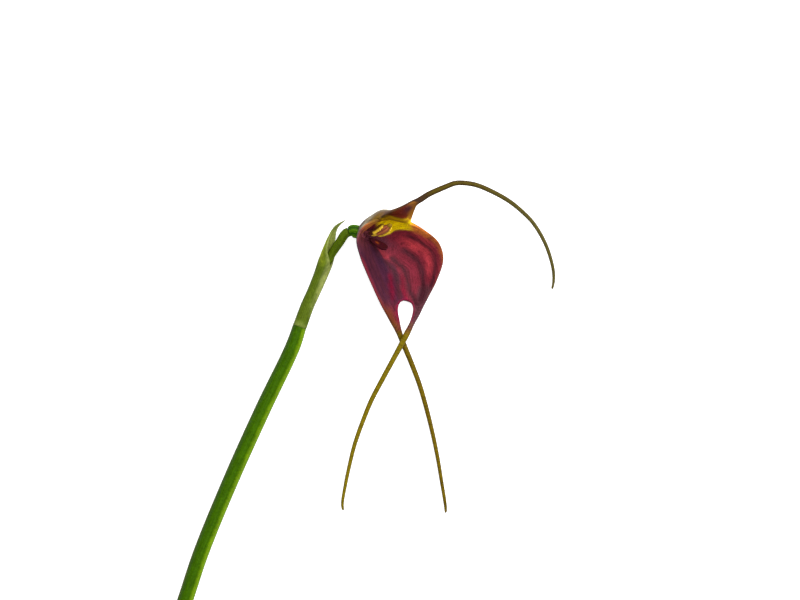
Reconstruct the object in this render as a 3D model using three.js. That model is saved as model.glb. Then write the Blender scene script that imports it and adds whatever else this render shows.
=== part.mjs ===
// A picked masdevallia flower on its cut stem, lying on a flat surface.
// Millimetres, +Z up. The flower is drawn in its own plane first: +Y runs up the flower, +X to the side
// that it faces, and z = 0 is the surface. The last lines move the origin to the middle of its base.
// "Near" is the half of the calyx that rises away from the surface, and "far" the half that lies on it.
import * as THREE from "three";
import { mergeVertices } from "three/addons/utils/BufferGeometryUtils.js";

// ---------------------------------------------------------------- driving dimensions
const STEM_RADIUS = 1.28; // the three-sided flower stem
const STEM_TOP_RADIUS = 1.12; // at its last node
const STEM_RADII = [STEM_RADIUS, STEM_RADIUS, STEM_RADIUS, STEM_RADIUS, STEM_TOP_RADIUS];
const STEM_RIDGE = 0.07; // how far its three ridges stand out, as a share of the radius
const BRACT_WALL = 0.26;
const BRACT_TIP_RADIUS = 0.05;
const BRACT_TIP_THINNING = 0.5; // share of the wall that is gone at the tip
const BRACT_TIP_POWER = 6; // how late along the bract the thinning sets in
const PEDICEL_RADII = [0.48, 0.48, 0.62, 0.73, 0.76, 0.79, 0.8, 0.8];
const OVARY_RADII = [0.82, 1.1, 1.22, 1.1, 0.79];
const OVARY_RIBS = 6;
const OVARY_GROOVE = 0.08; // depth of the grooves between its ribs, as a share of the radius
const SEPAL_WALL = 0.62;
const TAIL_WIDTHS = [1.02, 0.88, 0.8, 0.7, 0.58, 0.36]; // from the blade to the tip
const PETAL_WALL = 0.32;
const PETAL_CUPPING = 0.1;
const LIP_WALL = 0.42;
const LIP_CUPPING = 0.2;
const COLUMN_RADII = [0.31, 0.425, 0.5, 0.525, 0.35];

// The ring where the calyx sits on the ovary, and places on it in degrees from its dorsal side.
const RING_CENTRE = point(-6.25, 11.37, 3.2);
const RING_RADIUS = 1.15;
const RING_DORSAL = point(0, 1, 0);
const RING_NEAR = point(-0.5, 0, 0.87);
const DORSAL_SEAM = 45; // the edges of the dorsal sepal
const SYNSEPAL_SEAM = 51; // the edges of the two lateral sepals
const MIDDLE_SEAM = 120; // their middles
const KEEL_SEAM = 180; // the line where they are grown together

// ---------------------------------------------------------------- mesh detail
const ROWS_PER_STATION = 3;
const COLUMNS = 8; // across a sepal, a petal and the lip
const BLADE_ROWS = 12; // along a petal and the lip
const BLADE_POWER = 8; // outline of a wall at its free edge: nearly square in a blade
const TAIL_POWER = 2; // and round in a tail
const BLADE_ROUNDNESS = 0.3; // the petals and the lip, on the way from the one to the other
const STEM_SIDES = 18;
const STEM_ROWS = 28;
const STALK_SIDES = 14;
const STALK_ROWS = 14;
const OVARY_SIDES = 24;
const OVARY_ROWS = 8;
const BRACT_ROWS = 24;
const BRACT_COLUMNS = 16;
const CAP_SIDES = 14;
const CAP_ROWS = 10;
const MERGE_MM = 1e-4;
const UP = point(0, 0, 1);

// ---------------------------------------------------------------- stations of the calyx
// Each row of a rail is one station, from the ring to the notch, the sinus and on to the tail.
const NEAR_EDGE = [
  [-5.67, 12.92, 6.6],
  [-3.67, 13.43, 8.8],
  [-6.0, 12.33, 10.4],
  [-7.03, 10.33, 11.0],
  [-6.58, 7.42, 10.4],
  [-5.5, 4.5, 9.1],
  [-4.25, 1.5, 7.3],
  [-3.15, -0.9, 5.6],
  [-2.45, -2.2, 4.6],
  [-1.72, -3.6, 3.5],
];
const NEAR_MIDDLE = [
  [-6.85, 11.0, 5.2],
  [-6.95, 10.7, 6.4],
  [-6.75, 9.8, 6.4],
  [-6.15, 8.4, 5.6],
  [-5.17, 6.4, 4.8],
  [-3.92, 4.0, 4.1],
  [-2.1, 1.0, 3.6],
  [-1.6, -0.85, 3.7],
  [-1.4, -2.0, 3.6],
  [-0.92, -3.55, 2.9],
];
const KEEL = [
  [-5.55, 9.9, 2.1],
  [-4.5, 9.05, 1.4],
  [-3.75, 8.15, 1.05],
  [-3.0, 7.0, 0.95],
  [-2.08, 5.3, 0.95],
  [-1.0, 3.2, 1.15],
  [0.83, 0.0, 1.8],
];
const FAR_MIDDLE = [
  [-3.33, 11.33, 1.6],
  [-1.0, 10.5, 1.2],
  [0.67, 9.5, 1.0],
  [1.83, 8.0, 0.9],
  [2.67, 6.0, 0.9],
  [3.0, 3.5, 1.1],
  [3.0, 0.83, 1.7],
  [2.85, -0.8, 2.1],
  [2.65, -2.0, 2.3],
  [2.05, -3.58, 2.45],
];
const FAR_EDGE = [
  [-2.67, 13.5, 3.2],
  [1.57, 12.83, 5.3],
  [4.0, 11.67, 5.2],
  [6.42, 9.58, 4.7],
  [7.17, 6.92, 4.1],
  [6.15, 3.5, 3.5],
  [4.72, 0.67, 3.0],
  [3.83, -1.0, 2.8],
  [3.17, -2.33, 2.7],
  [2.45, -3.7, 2.6],
];
// The inner edges of the two free lobes, from the sinus down.
const NEAR_INNER = [
  [-0.1, -0.4, 2.4],
  [-0.47, -1.6, 2.8],
  [-0.15, -3.5, 2.4],
];
const FAR_INNER = [
  [1.75, -0.38, 1.9],
  [2.1, -1.4, 2.1],
  [1.65, -3.45, 2.35],
];
const SINUS_STATION = KEEL.length; // the station at which the two lobes part
// The middle lines of the tails, from the blade to the tip.
const NEAR_TAIL = [
  [-0.17, -5.5, 1.85],
  [0.38, -6.95, 1.3],
  [1.93, -10.73, 1.15],
  [3.22, -14.17, 1.05],
  [4.38, -18.17, 0.9],
  [5.33, -22.0, 0.75],
  [6.17, -26.0, 0.6],
  [6.93, -30.5, 0.4],
  [7.57, -34.6, 0.22],
  [7.62, -35.7, 0.18],
];
const FAR_TAIL = [
  [1.12, -5.5, 2.5],
  [0.38, -6.95, 2.45],
  [-1.0, -9.5, 2.35],
  [-3.17, -13.5, 2.1],
  [-4.83, -16.67, 1.8],
  [-6.33, -20.33, 1.45],
  [-7.67, -24.17, 1.1],
  [-8.5, -27.5, 0.8],
  [-9.22, -30.93, 0.5],
  [-9.73, -34.2, 0.25],
  [-9.6, -35.3, 0.18],
];
const DORSAL_NEAR = [
  [-5.56, 13.04, 6.52],
  [-3.57, 13.53, 8.71],
  [-1.95, 14.4, 8.9],
  [0.33, 15.55, 8.8],
  [1.95, 16.45, 8.6],
];
const DORSAL_RIDGE = [
  [-4.5, 13.75, 5.2],
  [-2.7, 14.68, 6.9],
  [-1.0, 14.65, 7.5],
  [1.28, 15.3, 7.7],
  [2.35, 16.1, 8.2],
];
const DORSAL_FAR = [
  [-2.73, 13.61, 3.28],
  [1.51, 12.95, 5.39],
  [1.95, 13.85, 6.0],
  [2.38, 15.0, 7.1],
  [2.75, 15.75, 7.9],
];
const DORSAL_TAIL = [
  [3.5, 16.78, 8.5],
  [4.62, 17.5, 8.8],
  [7.33, 18.7, 9.15],
  [9.08, 19.34, 9.1],
  [10.83, 19.36, 8.8],
  [12.67, 19.03, 8.3],
  [15.33, 17.95, 7.3],
  [18.08, 16.45, 6.0],
  [20.33, 14.7, 4.8],
  [22.17, 12.85, 3.6],
  [24.0, 9.95, 2.3],
  [25.14, 7.1, 1.2],
  [25.68, 4.7, 0.6],
  [25.7, 3.1, 0.3],
  [25.45, 1.82, 0.2],
];

// ---------------------------------------------------------------- lines of the other pieces
const STEM_LINE = [
  [-43.8, -73.5],
  [-39.9, -61.7],
  [-35.92, -49.83],
  [-33.42, -42.33],
  [-28.5, -30.33],
  [-23.08, -18.33],
  [-18.0, -7.67],
  [-16.83, -4.2],
];
const BRACT_LINE = [
  [-16.74, -4.04, 1.17],
  [-15.55, -0.88, 1.2],
  [-14.42, 1.62, 1.25],
  [-13.33, 4.25, 1.35],
  [-12.58, 6.25, 1.5],
  [-11.95, 8.15, 1.75],
  [-11.3, 10.0, 2.1],
  [-10.45, 11.9, 2.5],
  [-9.25, 13.3, 2.9],
];
const BRACT_RADII = [1.17, 1.13, 1.13, 1.2, 1.28, 1.18, 0.92, 0.6, 0.2];
const BRACT_WRAP = [172, 172, 172, 170, 150, 105, 85, 70, 50]; // half of the wrapped angle, in degrees
const BRACT_BACK = point(-0.75, 0.25, -0.6); // the side away from its mouth
const PEDICEL_LINE = [
  [-16.2, -2.9, 1.22],
  [-14.42, 1.62, 1.3],
  [-12.9, 5.22, 1.45],
  [-11.2, 8.2, 1.85],
  [-10.1, 9.8, 2.3],
  [-9.5, 10.75, 2.58],
  [-9.05, 11.25, 2.7],
  [-8.66, 11.42, 2.76],
];
const OVARY_LINE = [
  [-8.52, 11.47, 2.77],
  [-8.0, 11.62, 2.78],
  [-7.3, 11.45, 2.82],
  [-6.75, 11.38, 2.95],
  [-6.05, 11.37, 3.3],
];
const COLUMN_LINE = [
  [-5.94, 11.36, 3.36],
  [-4.9, 11.15, 3.8],
  [-3.5, 11.35, 4.7],
  [-2.5, 11.88, 5.7],
  [-2.05, 12.2, 6.3],
];
const CAP_CENTRE = [-1.77, 12.4, 6.62];
const CAP_RADIUS = 0.42;
const CAP_SHAPE = [1, 0.85, 0.8];
const NEAR_PETAL_LINE = [
  [-5.3, 11.0, 4.5],
  [-4.05, 11.7, 5.45],
  [-2.75, 12.65, 6.6],
];
const FAR_PETAL_LINE = [
  [-3.91, 10.83, 3.5],
  [-2.51, 11.33, 4.55],
  [-1.46, 12.13, 5.65],
];
const PETAL_ACROSS = point(-0.25, 0.9, -0.35);
const PETAL_HALF_WIDTHS = [0.25, 0.5, 0.55, 0.5, 0.25];
const LIP_LINE = [
  [-5.2, 10.3, 2.75],
  [-4.3, 9.75, 2.5],
  [-3.4, 9.2, 2.7],
  [-2.7, 8.75, 3.3],
  [-2.35, 8.5, 3.9],
];
const LIP_ACROSS = point(-0.6, -0.5, 0.6);
const LIP_HALF_WIDTHS = [0.3, 0.55, 0.75, 0.7, 0.35];

// ---------------------------------------------------------------- small helpers
function point(x, y, z) {
  return new THREE.Vector3(x, y, z);
}

function points(rows) {
  return rows.map(([x, y, z]) => point(x, y, z));
}

function railThrough(stations) {
  const curve = new THREE.CatmullRomCurve3(stations, false, "centripetal");
  const last = stations.length - 1;
  return (station) => curve.getPoint(Math.min(1, Math.max(0, station / last)));
}

function valueAt(values, share) {
  const place = share * (values.length - 1);
  const before = Math.min(values.length - 2, Math.floor(place));
  return THREE.MathUtils.lerp(values[before], values[before + 1], place - before);
}

// Shares from 0 to 1 that stand closer together towards both ends.
function crowdedShare(j, count) {
  return 0.5 - 0.5 * Math.cos((Math.PI * j) / count);
}

// One closed geometry from triangles, each given by three points, with its faces pointing out.
function closedGeometry(triangles) {
  const loose = new THREE.BufferGeometry().setFromPoints(triangles.flat());
  const merged = mergeVertices(loose, MERGE_MM);
  const index = merged.index.array;
  const kept = [];
  for (let i = 0; i < index.length; i += 3) {
    const [a, b, c] = [index[i], index[i + 1], index[i + 2]];
    if (a !== b && b !== c && c !== a) kept.push(a, b, c);
  }
  const place = merged.getAttribute("position");
  const [p, q, r] = [point(), point(), point()];
  let volume = 0;
  for (let i = 0; i < kept.length; i += 3) {
    p.fromBufferAttribute(place, kept[i]);
    q.fromBufferAttribute(place, kept[i + 1]);
    r.fromBufferAttribute(place, kept[i + 2]);
    volume += p.dot(q.cross(r));
  }
  merged.setIndex(volume < 0 ? kept.reverse() : kept);
  merged.computeVertexNormals();
  return merged;
}

function quad(a, b, c, d) {
  return [
    [a, b, c],
    [a, c, d],
  ];
}

function skin(rows) {
  const faces = [];
  for (let i = 0; i + 1 < rows.length; i++)
    for (let j = 0; j + 1 < rows[i].length; j++)
      faces.push(...quad(rows[i][j], rows[i][j + 1], rows[i + 1][j + 1], rows[i + 1][j]));
  return faces;
}

function turned(faces) {
  return faces.map(([a, b, c]) => [a, c, b]);
}

// ---------------------------------------------------------------- round stalks
// A solid along a line. radiusAt(share, angle) gives its outline, with the angle measured from its top.
function stalk(line, sides, steps, radiusAt) {
  const curve = new THREE.CatmullRomCurve3(line, false, "centripetal");
  const rings = [];
  for (let i = 0; i <= steps; i++) {
    const share = i / steps;
    const centre = curve.getPoint(share);
    const along = curve.getTangent(share);
    const side = along.clone().cross(UP).normalize();
    const top = side.clone().cross(along).normalize();
    const ring = [];
    for (let j = 0; j <= sides; j++) {
      const angle = (2 * Math.PI * (j % sides)) / sides;
      const out = top.clone().multiplyScalar(Math.cos(angle)).addScaledVector(side, Math.sin(angle));
      ring.push(centre.clone().addScaledVector(out, radiusAt(share, angle)));
    }
    rings.push(ring);
  }
  const lid = (end) => {
    const centre = curve.getPoint(end / steps);
    return rings[end].slice(1).map((corner, j) => [centre, corner, rings[end][j]]);
  };
  return closedGeometry([...skin(rings), ...lid(0), ...turned(lid(steps))]);
}

// ---------------------------------------------------------------- sheets: sepals, petals and lip
// The middle surface of a sheet is a grid of rows of cells. Each cell has a place, the direction of its
// row there and the wall's thickness. Up to the row partsAt, the first column joins another sheet.
function sheetFaces(grid, side = 1, partsAt = 0) {
  const lastRow = grid.length - 1;
  const lastColumn = grid[0].length - 1;
  const inner = [];
  const outer = [];
  grid.forEach((row, i) => {
    inner.push([]);
    outer.push([]);
    row.forEach(({ place, direction, wall }, j) => {
      const ahead = j === 0 && i > 0 && i === partsAt ? i : i + 1;
      const before = grid[Math.max(0, i - 1)][j].place;
      const after = grid[Math.min(lastRow, ahead)][j].place;
      const normal = after.clone().sub(before).cross(direction).normalize();
      inner[i].push(place.clone().addScaledVector(normal, 0.5 * wall * side));
      outer[i].push(place.clone().addScaledVector(normal, -0.5 * wall * side));
    });
  });
  const faces = [
    ...skin(inner),
    ...turned(skin(outer)),
    ...skin([outer[0], inner[0]]),
    ...turned(skin([outer[lastRow], inner[lastRow]])),
  ];
  for (let i = 0; i < lastRow; i++) {
    const rim = (j) => quad(outer[i][j], inner[i][j], inner[i + 1][j], outer[i + 1][j]);
    if (i >= partsAt) faces.push(...rim(0));
    faces.push(...turned(rim(lastColumn)));
  }
  return side < 0 ? turned(faces) : faces;
}

// A point of a row that runs from a through m to b, and the direction of the row there. slope is the
// row's direction at a, where the sheet goes on beyond it.
function acrossRow(a, m, b, s, slope) {
  const middle = b.clone().sub(a);
  const free = m.clone().multiplyScalar(4).addScaledVector(a, -3).sub(b);
  const start = slope ? slope.direction.clone().lerp(free, slope.freed) : free;
  const end = b.clone().multiplyScalar(3).add(a).addScaledVector(m, -4);
  const [p, q, u, v] = s < 0.5 ? [a, m, start, middle] : [m, b, middle, end];
  const t = s < 0.5 ? 2 * s : 2 * s - 1;
  const [t2, t3] = [t * t, t * t * t];
  const place = p
    .clone()
    .multiplyScalar(2 * t3 - 3 * t2 + 1)
    .addScaledVector(q, 3 * t2 - 2 * t3)
    .addScaledVector(u, 0.5 * (t3 - 2 * t2 + t))
    .addScaledVector(v, 0.5 * (t3 - t2));
  const direction = p
    .clone()
    .multiplyScalar(12 * t2 - 12 * t)
    .addScaledVector(q, 12 * t - 12 * t2)
    .addScaledVector(u, 3 * t2 - 4 * t + 1)
    .addScaledVector(v, 3 * t2 - 2 * t);
  return { place, direction };
}

// Thickness across a sheet as a share of its wall: flat in a blade, round in a tail.
function edgeRounding(s, roundness, firstEdge = 1) {
  const power = THREE.MathUtils.lerp(BLADE_POWER, TAIL_POWER, roundness);
  const fall = Math.sqrt(Math.max(0, 1 - Math.abs(2 * s - 1) ** power));
  return s < 0.5 ? THREE.MathUtils.lerp(1, fall, firstEdge) : fall;
}

function ringPoint(degrees) {
  const angle = THREE.MathUtils.degToRad(degrees);
  return RING_CENTRE.clone()
    .addScaledVector(RING_DORSAL, RING_RADIUS * Math.cos(angle))
    .addScaledVector(RING_NEAR, RING_RADIUS * Math.sin(angle));
}

// The stations of a tail as left edge, middle and right edge, seen from above and from its blade.
function tailStations(line) {
  const centres = points(line);
  return centres.map((centre, i) => {
    const before = centres[Math.max(0, i - 1)];
    const after = centres[Math.min(centres.length - 1, i + 1)];
    const along = after.clone().sub(before);
    const width = valueAt(TAIL_WIDTHS, i / (centres.length - 1));
    const out = along.cross(UP).setLength(width / 2);
    return { left: centre.clone().sub(out), centre, right: centre.clone().add(out), width };
  });
}

// One row across a sepal, flat in its blade and as thick as wide in its tail.
function sepalRow(a, m, b, tail, station, roundness, firstEdge, slope) {
  const nearest = THREE.MathUtils.clamp(Math.round(station), 0, tail.length - 1);
  const wall = THREE.MathUtils.lerp(SEPAL_WALL, tail[nearest].width, roundness);
  const row = [];
  for (let j = 0; j <= COLUMNS; j++) {
    const s = crowdedShare(j, COLUMNS);
    row.push({ ...acrossRow(a, m, b, s, slope), wall: wall * edgeRounding(s, roundness, firstEdge) });
  }
  return row;
}

// ---------------------------------------------------------------- calyx
// One lateral sepal, from the keel that the two share out to its free edge, and on into its tail.
// side is +1 for the far sepal and -1 for the near one.
function lateralFaces(side, edge, middle, innerEdge, tailLine, otherMiddle) {
  const tail = tailStations(tailLine);
  const outward = tail.map((t) => (side > 0 ? t.left : t.right));
  const inward = tail.map((t) => (side > 0 ? t.right : t.left));
  const centres = tail.map((t) => t.centre);
  const keelStations = [ringPoint(KEEL_SEAM), ...points(KEEL)];
  const keelAt = railThrough(keelStations);
  const lobeAt = railThrough([keelStations[SINUS_STATION], ...points(innerEdge), ...inward]);
  const middleAt = railThrough([ringPoint(-side * MIDDLE_SEAM), ...points(middle), ...centres]);
  const otherAt = railThrough([ringPoint(side * MIDDLE_SEAM), ...points(otherMiddle)]);
  const edgeAt = railThrough([ringPoint(-side * SYNSEPAL_SEAM), ...points(edge), ...outward]);
  const grid = [];
  for (let i = 0; i <= (edge.length + tail.length) * ROWS_PER_STATION; i++) {
    const station = i / ROWS_PER_STATION;
    const fused = Math.min(station, SINUS_STATION);
    const a = station <= SINUS_STATION ? keelAt(station) : lobeAt(station - SINUS_STATION);
    const freed = THREE.MathUtils.smoothstep(station, SINUS_STATION, SINUS_STATION + 2);
    const roundness = THREE.MathUtils.smoothstep(station, SINUS_STATION + 1, edge.length + 1);
    const slope = { direction: middleAt(fused).sub(otherAt(fused)), freed };
    const onTail = station - edge.length - 1;
    grid.push(sepalRow(a, middleAt(station), edgeAt(station), tail, onTail, roundness, freed, slope));
  }
  return sheetFaces(grid, side, SINUS_STATION * ROWS_PER_STATION);
}

function synsepal() {
  return closedGeometry([
    ...lateralFaces(1, FAR_EDGE, FAR_MIDDLE, FAR_INNER, FAR_TAIL, NEAR_MIDDLE),
    ...lateralFaces(-1, NEAR_EDGE, NEAR_MIDDLE, NEAR_INNER, NEAR_TAIL, FAR_MIDDLE),
  ]);
}

function dorsalSepal() {
  const tail = tailStations(DORSAL_TAIL);
  const nearAt = railThrough([ringPoint(DORSAL_SEAM), ...points(DORSAL_NEAR), ...tail.map((t) => t.left)]);
  const ridgeAt = railThrough([ringPoint(0), ...points(DORSAL_RIDGE), ...tail.map((t) => t.centre)]);
  const farAt = railThrough([ringPoint(-DORSAL_SEAM), ...points(DORSAL_FAR), ...tail.map((t) => t.right)]);
  const blade = DORSAL_NEAR.length;
  const grid = [];
  for (let i = 0; i <= (blade + tail.length) * ROWS_PER_STATION; i++) {
    const station = i / ROWS_PER_STATION;
    const roundness = THREE.MathUtils.smoothstep(station, blade - 1, blade + 1);
    const onTail = station - blade - 1;
    grid.push(sepalRow(nearAt(station), ridgeAt(station), farAt(station), tail, onTail, roundness));
  }
  return closedGeometry(sheetFaces(grid));
}

// ---------------------------------------------------------------- stem, bract, pedicel and ovary
function peduncle() {
  const line = STEM_LINE.map(([x, y], i) => {
    const radius = i < STEM_LINE.length - 1 ? STEM_RADIUS : STEM_TOP_RADIUS;
    return point(x, y, radius * (1 - STEM_RIDGE));
  });
  const radiusAt = (share, angle) => valueAt(STEM_RADII, share) * (1 + STEM_RIDGE * Math.cos(3 * angle));
  return stalk(line, STEM_SIDES, STEM_ROWS, radiusAt);
}

// The bract is a wall wrapped round its line, open towards its mouth. It ends in a narrow free tip.
function floralBract() {
  const curve = new THREE.CatmullRomCurve3(points(BRACT_LINE), false, "centripetal");
  const grid = [];
  for (let i = 0; i <= BRACT_ROWS; i++) {
    const share = i / BRACT_ROWS;
    const along = curve.getTangent(share);
    const side = along.clone().cross(BRACT_BACK).normalize();
    const out = side.clone().cross(along).normalize();
    const radius = Math.max(BRACT_TIP_RADIUS, valueAt(BRACT_RADII, share) - BRACT_WALL / 2);
    const wrap = THREE.MathUtils.degToRad(valueAt(BRACT_WRAP, share));
    const wall = BRACT_WALL * (1 - BRACT_TIP_THINNING * share ** BRACT_TIP_POWER);
    grid.push([]);
    for (let j = 0; j <= BRACT_COLUMNS; j++) {
      const s = j / BRACT_COLUMNS;
      const angle = wrap * (2 * s - 1);
      const spoke = out.clone().multiplyScalar(Math.cos(angle)).addScaledVector(side, Math.sin(angle));
      const direction = out.clone().multiplyScalar(-Math.sin(angle)).addScaledVector(side, Math.cos(angle));
      const place = curve.getPoint(share).addScaledVector(spoke, radius);
      grid[i].push({ place, direction, wall: wall * edgeRounding(s, 0) });
    }
  }
  return closedGeometry(sheetFaces(grid));
}

function pedicel() {
  return stalk(points(PEDICEL_LINE), STALK_SIDES, STALK_ROWS, (share) => valueAt(PEDICEL_RADII, share));
}

function ovary() {
  const ribs = (angle) => 1 - OVARY_GROOVE * (0.5 - 0.5 * Math.cos(OVARY_RIBS * angle));
  const radiusAt = (share, angle) => valueAt(OVARY_RADII, share) * ribs(angle);
  return stalk(points(OVARY_LINE), OVARY_SIDES, OVARY_ROWS, radiusAt);
}

// ---------------------------------------------------------------- inside the flower
function column() {
  return stalk(points(COLUMN_LINE), STALK_SIDES, STALK_ROWS, (share) => valueAt(COLUMN_RADII, share));
}

function antherCap() {
  const cap = new THREE.SphereGeometry(CAP_RADIUS, CAP_SIDES, CAP_ROWS);
  cap.deleteAttribute("normal");
  cap.deleteAttribute("uv");
  cap.scale(...CAP_SHAPE);
  cap.translate(...CAP_CENTRE);
  return mergeVertices(cap, MERGE_MM);
}

// A small cupped blade along a line, with its half widths given from base to tip.
function blade(line, across, halfWidths, wall, cupping) {
  const curve = new THREE.CatmullRomCurve3(points(line), false, "centripetal");
  const grid = [];
  for (let i = 0; i <= BLADE_ROWS; i++) {
    const share = i / BLADE_ROWS;
    const along = curve.getTangent(share);
    const direction = across.clone().addScaledVector(along, -across.dot(along)).normalize();
    const up = direction.clone().cross(along).normalize();
    const half = valueAt(halfWidths, share);
    grid.push([]);
    for (let j = 0; j <= COLUMNS; j++) {
      const s = crowdedShare(j, COLUMNS);
      const offset = 2 * s - 1;
      const place = curve.getPoint(share).addScaledVector(direction, half * offset);
      place.addScaledVector(up, cupping * half * offset * offset);
      grid[i].push({ place, direction, wall: wall * edgeRounding(s, BLADE_ROUNDNESS) });
    }
  }
  return closedGeometry(sheetFaces(grid));
}

// ---------------------------------------------------------------- the flower
const MATERIALS = {
  peduncle: { color: 0x3f6d10, roughness: 0.5, metalness: 0 },
  floral_bract: { color: 0x6f8a2c, roughness: 0.6, metalness: 0 },
  pedicel: { color: 0x4a6e12, roughness: 0.5, metalness: 0 },
  ovary: { color: 0x2f7a1c, roughness: 0.45, metalness: 0 },
  synsepal: { color: 0x8a2434, roughness: 0.6, metalness: 0 },
  dorsal_sepal: { color: 0x8a5a20, roughness: 0.6, metalness: 0 },
  petal_left: { color: 0xd8b820, roughness: 0.55, metalness: 0 },
  petal_right: { color: 0xd8b820, roughness: 0.55, metalness: 0 },
  lip: { color: 0x5a1820, roughness: 0.5, metalness: 0 },
  column: { color: 0xa86048, roughness: 0.5, metalness: 0 },
  anther_cap: { color: 0xd8c070, roughness: 0.5, metalness: 0 },
};

function named(name, geometry) {
  const mesh = new THREE.Mesh(geometry, new THREE.MeshStandardMaterial(MATERIALS[name]));
  mesh.name = name;
  return mesh;
}

const flower = new THREE.Group();
flower.add(
  named("peduncle", peduncle()),
  named("floral_bract", floralBract()),
  named("pedicel", pedicel()),
  named("ovary", ovary()),
  named("synsepal", synsepal()),
  named("dorsal_sepal", dorsalSepal()),
  named("petal_left", blade(NEAR_PETAL_LINE, PETAL_ACROSS, PETAL_HALF_WIDTHS, PETAL_WALL, PETAL_CUPPING)),
  named("petal_right", blade(FAR_PETAL_LINE, PETAL_ACROSS, PETAL_HALF_WIDTHS, PETAL_WALL, PETAL_CUPPING)),
  named("lip", blade(LIP_LINE, LIP_ACROSS, LIP_HALF_WIDTHS, LIP_WALL, LIP_CUPPING)),
  named("column", column()),
  named("anther_cap", antherCap()),
);

// The origin goes to the middle of the bounding box, on the surface that the flower lies on.
const box = new THREE.Box3().setFromObject(flower, true);
const middle = box.getCenter(point(0, 0, 0));
flower.position.set(-middle.x, -middle.y, -box.min.z);

export default flower;
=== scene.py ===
"""A picked masdevallia orchid flower on its cut stem, lying on a table, and the studio round it.

Everything is drawn in the flower's own millimetres: +X to the side that the flower faces, +Y up the
flower and z = 0 on the table. "Near" is the half of the calyx that rises from the table, "far" the
half that lies on it. place() puts the drawing where the frame holds it.
"""

import math

import bmesh
import bpy
import numpy as np
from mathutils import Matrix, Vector


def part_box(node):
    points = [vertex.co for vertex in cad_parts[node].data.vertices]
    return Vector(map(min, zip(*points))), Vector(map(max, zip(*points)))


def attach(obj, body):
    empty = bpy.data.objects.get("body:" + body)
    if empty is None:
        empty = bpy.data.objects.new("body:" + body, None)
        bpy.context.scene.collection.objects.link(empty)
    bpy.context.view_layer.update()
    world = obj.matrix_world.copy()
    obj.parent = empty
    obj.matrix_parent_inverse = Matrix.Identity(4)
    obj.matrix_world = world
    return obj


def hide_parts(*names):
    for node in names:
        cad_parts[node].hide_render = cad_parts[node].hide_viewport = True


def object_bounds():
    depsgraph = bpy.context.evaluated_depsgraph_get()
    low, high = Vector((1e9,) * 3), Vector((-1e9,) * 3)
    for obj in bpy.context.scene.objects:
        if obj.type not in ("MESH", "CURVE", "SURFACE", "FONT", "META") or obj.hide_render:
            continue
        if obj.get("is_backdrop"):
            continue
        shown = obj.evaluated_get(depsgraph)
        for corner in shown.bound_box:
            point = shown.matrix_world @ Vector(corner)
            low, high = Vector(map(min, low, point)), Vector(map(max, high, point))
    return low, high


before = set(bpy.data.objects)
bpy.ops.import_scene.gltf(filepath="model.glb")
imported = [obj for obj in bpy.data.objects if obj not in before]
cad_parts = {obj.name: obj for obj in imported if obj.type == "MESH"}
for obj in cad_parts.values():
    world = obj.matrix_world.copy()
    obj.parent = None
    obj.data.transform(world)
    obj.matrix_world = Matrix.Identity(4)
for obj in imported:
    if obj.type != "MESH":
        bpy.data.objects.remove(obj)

bl_info = {
    "name": "Masdevallia flower",
    "version": (1, 0, 0),
    "blender": (4, 5, 0),
    "location": "3D View > Sidebar > Flower",
    "description": "Builds a picked masdevallia orchid flower piece by piece, with its studio",
    "category": "Object",
}

MM = 0.001


# ---------------------------------------------------------------- settings that a user would change
def length(label, text, millimetres):
    return bpy.props.FloatProperty(
        name=label, description=text, default=millimetres * MM, min=0.0, precision=5, unit="LENGTH"
    )


def tint(label, text, red, green, blue):
    """A colour setting, from its screen values of 0 to 255."""
    shares = [channel / 255 for channel in (red, green, blue)]
    channels = [s / 12.92 if s <= 0.04045 else ((s + 0.055) / 1.055) ** 2.4 for s in shares]
    return bpy.props.FloatVectorProperty(
        name=label, description=text, default=channels, min=0.0, max=1.0, size=3, subtype="COLOR"
    )


class FlowerSizes(bpy.types.PropertyGroup):
    """Thicknesses and widths of the flower's pieces."""

    stem_radius: length("Stem radius", "Radius of the flower stem", 1.3)
    stem_top_radius: length("Stem top radius", "Radius of the flower stem at its last node", 1.14)
    bract_wall: length("Bract wall", "Thickness of the sheathing bract", 0.22)
    pedicel_radius: length("Pedicel radius", "Radius of the pedicel where it leaves the bract", 0.74)
    ovary_radius: length("Ovary radius", "Radius of the ovary at its widest", 1.24)
    ring_radius: length("Ring radius", "Radius of the ring where the calyx sits on the ovary", 1.15)
    sepal_wall: length("Sepal wall", "Thickness of a sepal", 0.58)
    tail_width: length("Tail width", "Width of a tail where it leaves its blade", 1.02)
    tail_tip_width: length("Tail tip width", "Width of a tail near its tip", 0.38)
    petal_wall: length("Petal wall", "Thickness of a petal", 0.26)
    petal_half_width: length("Petal half width", "Half the width of a petal", 0.46)
    lip_wall: length("Lip wall", "Thickness of the lip", 0.4)
    column_radius: length("Column radius", "Radius of the column at its middle", 0.55)
    cap_radius: length("Cap radius", "Radius of the anther cap", 0.42)


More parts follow.
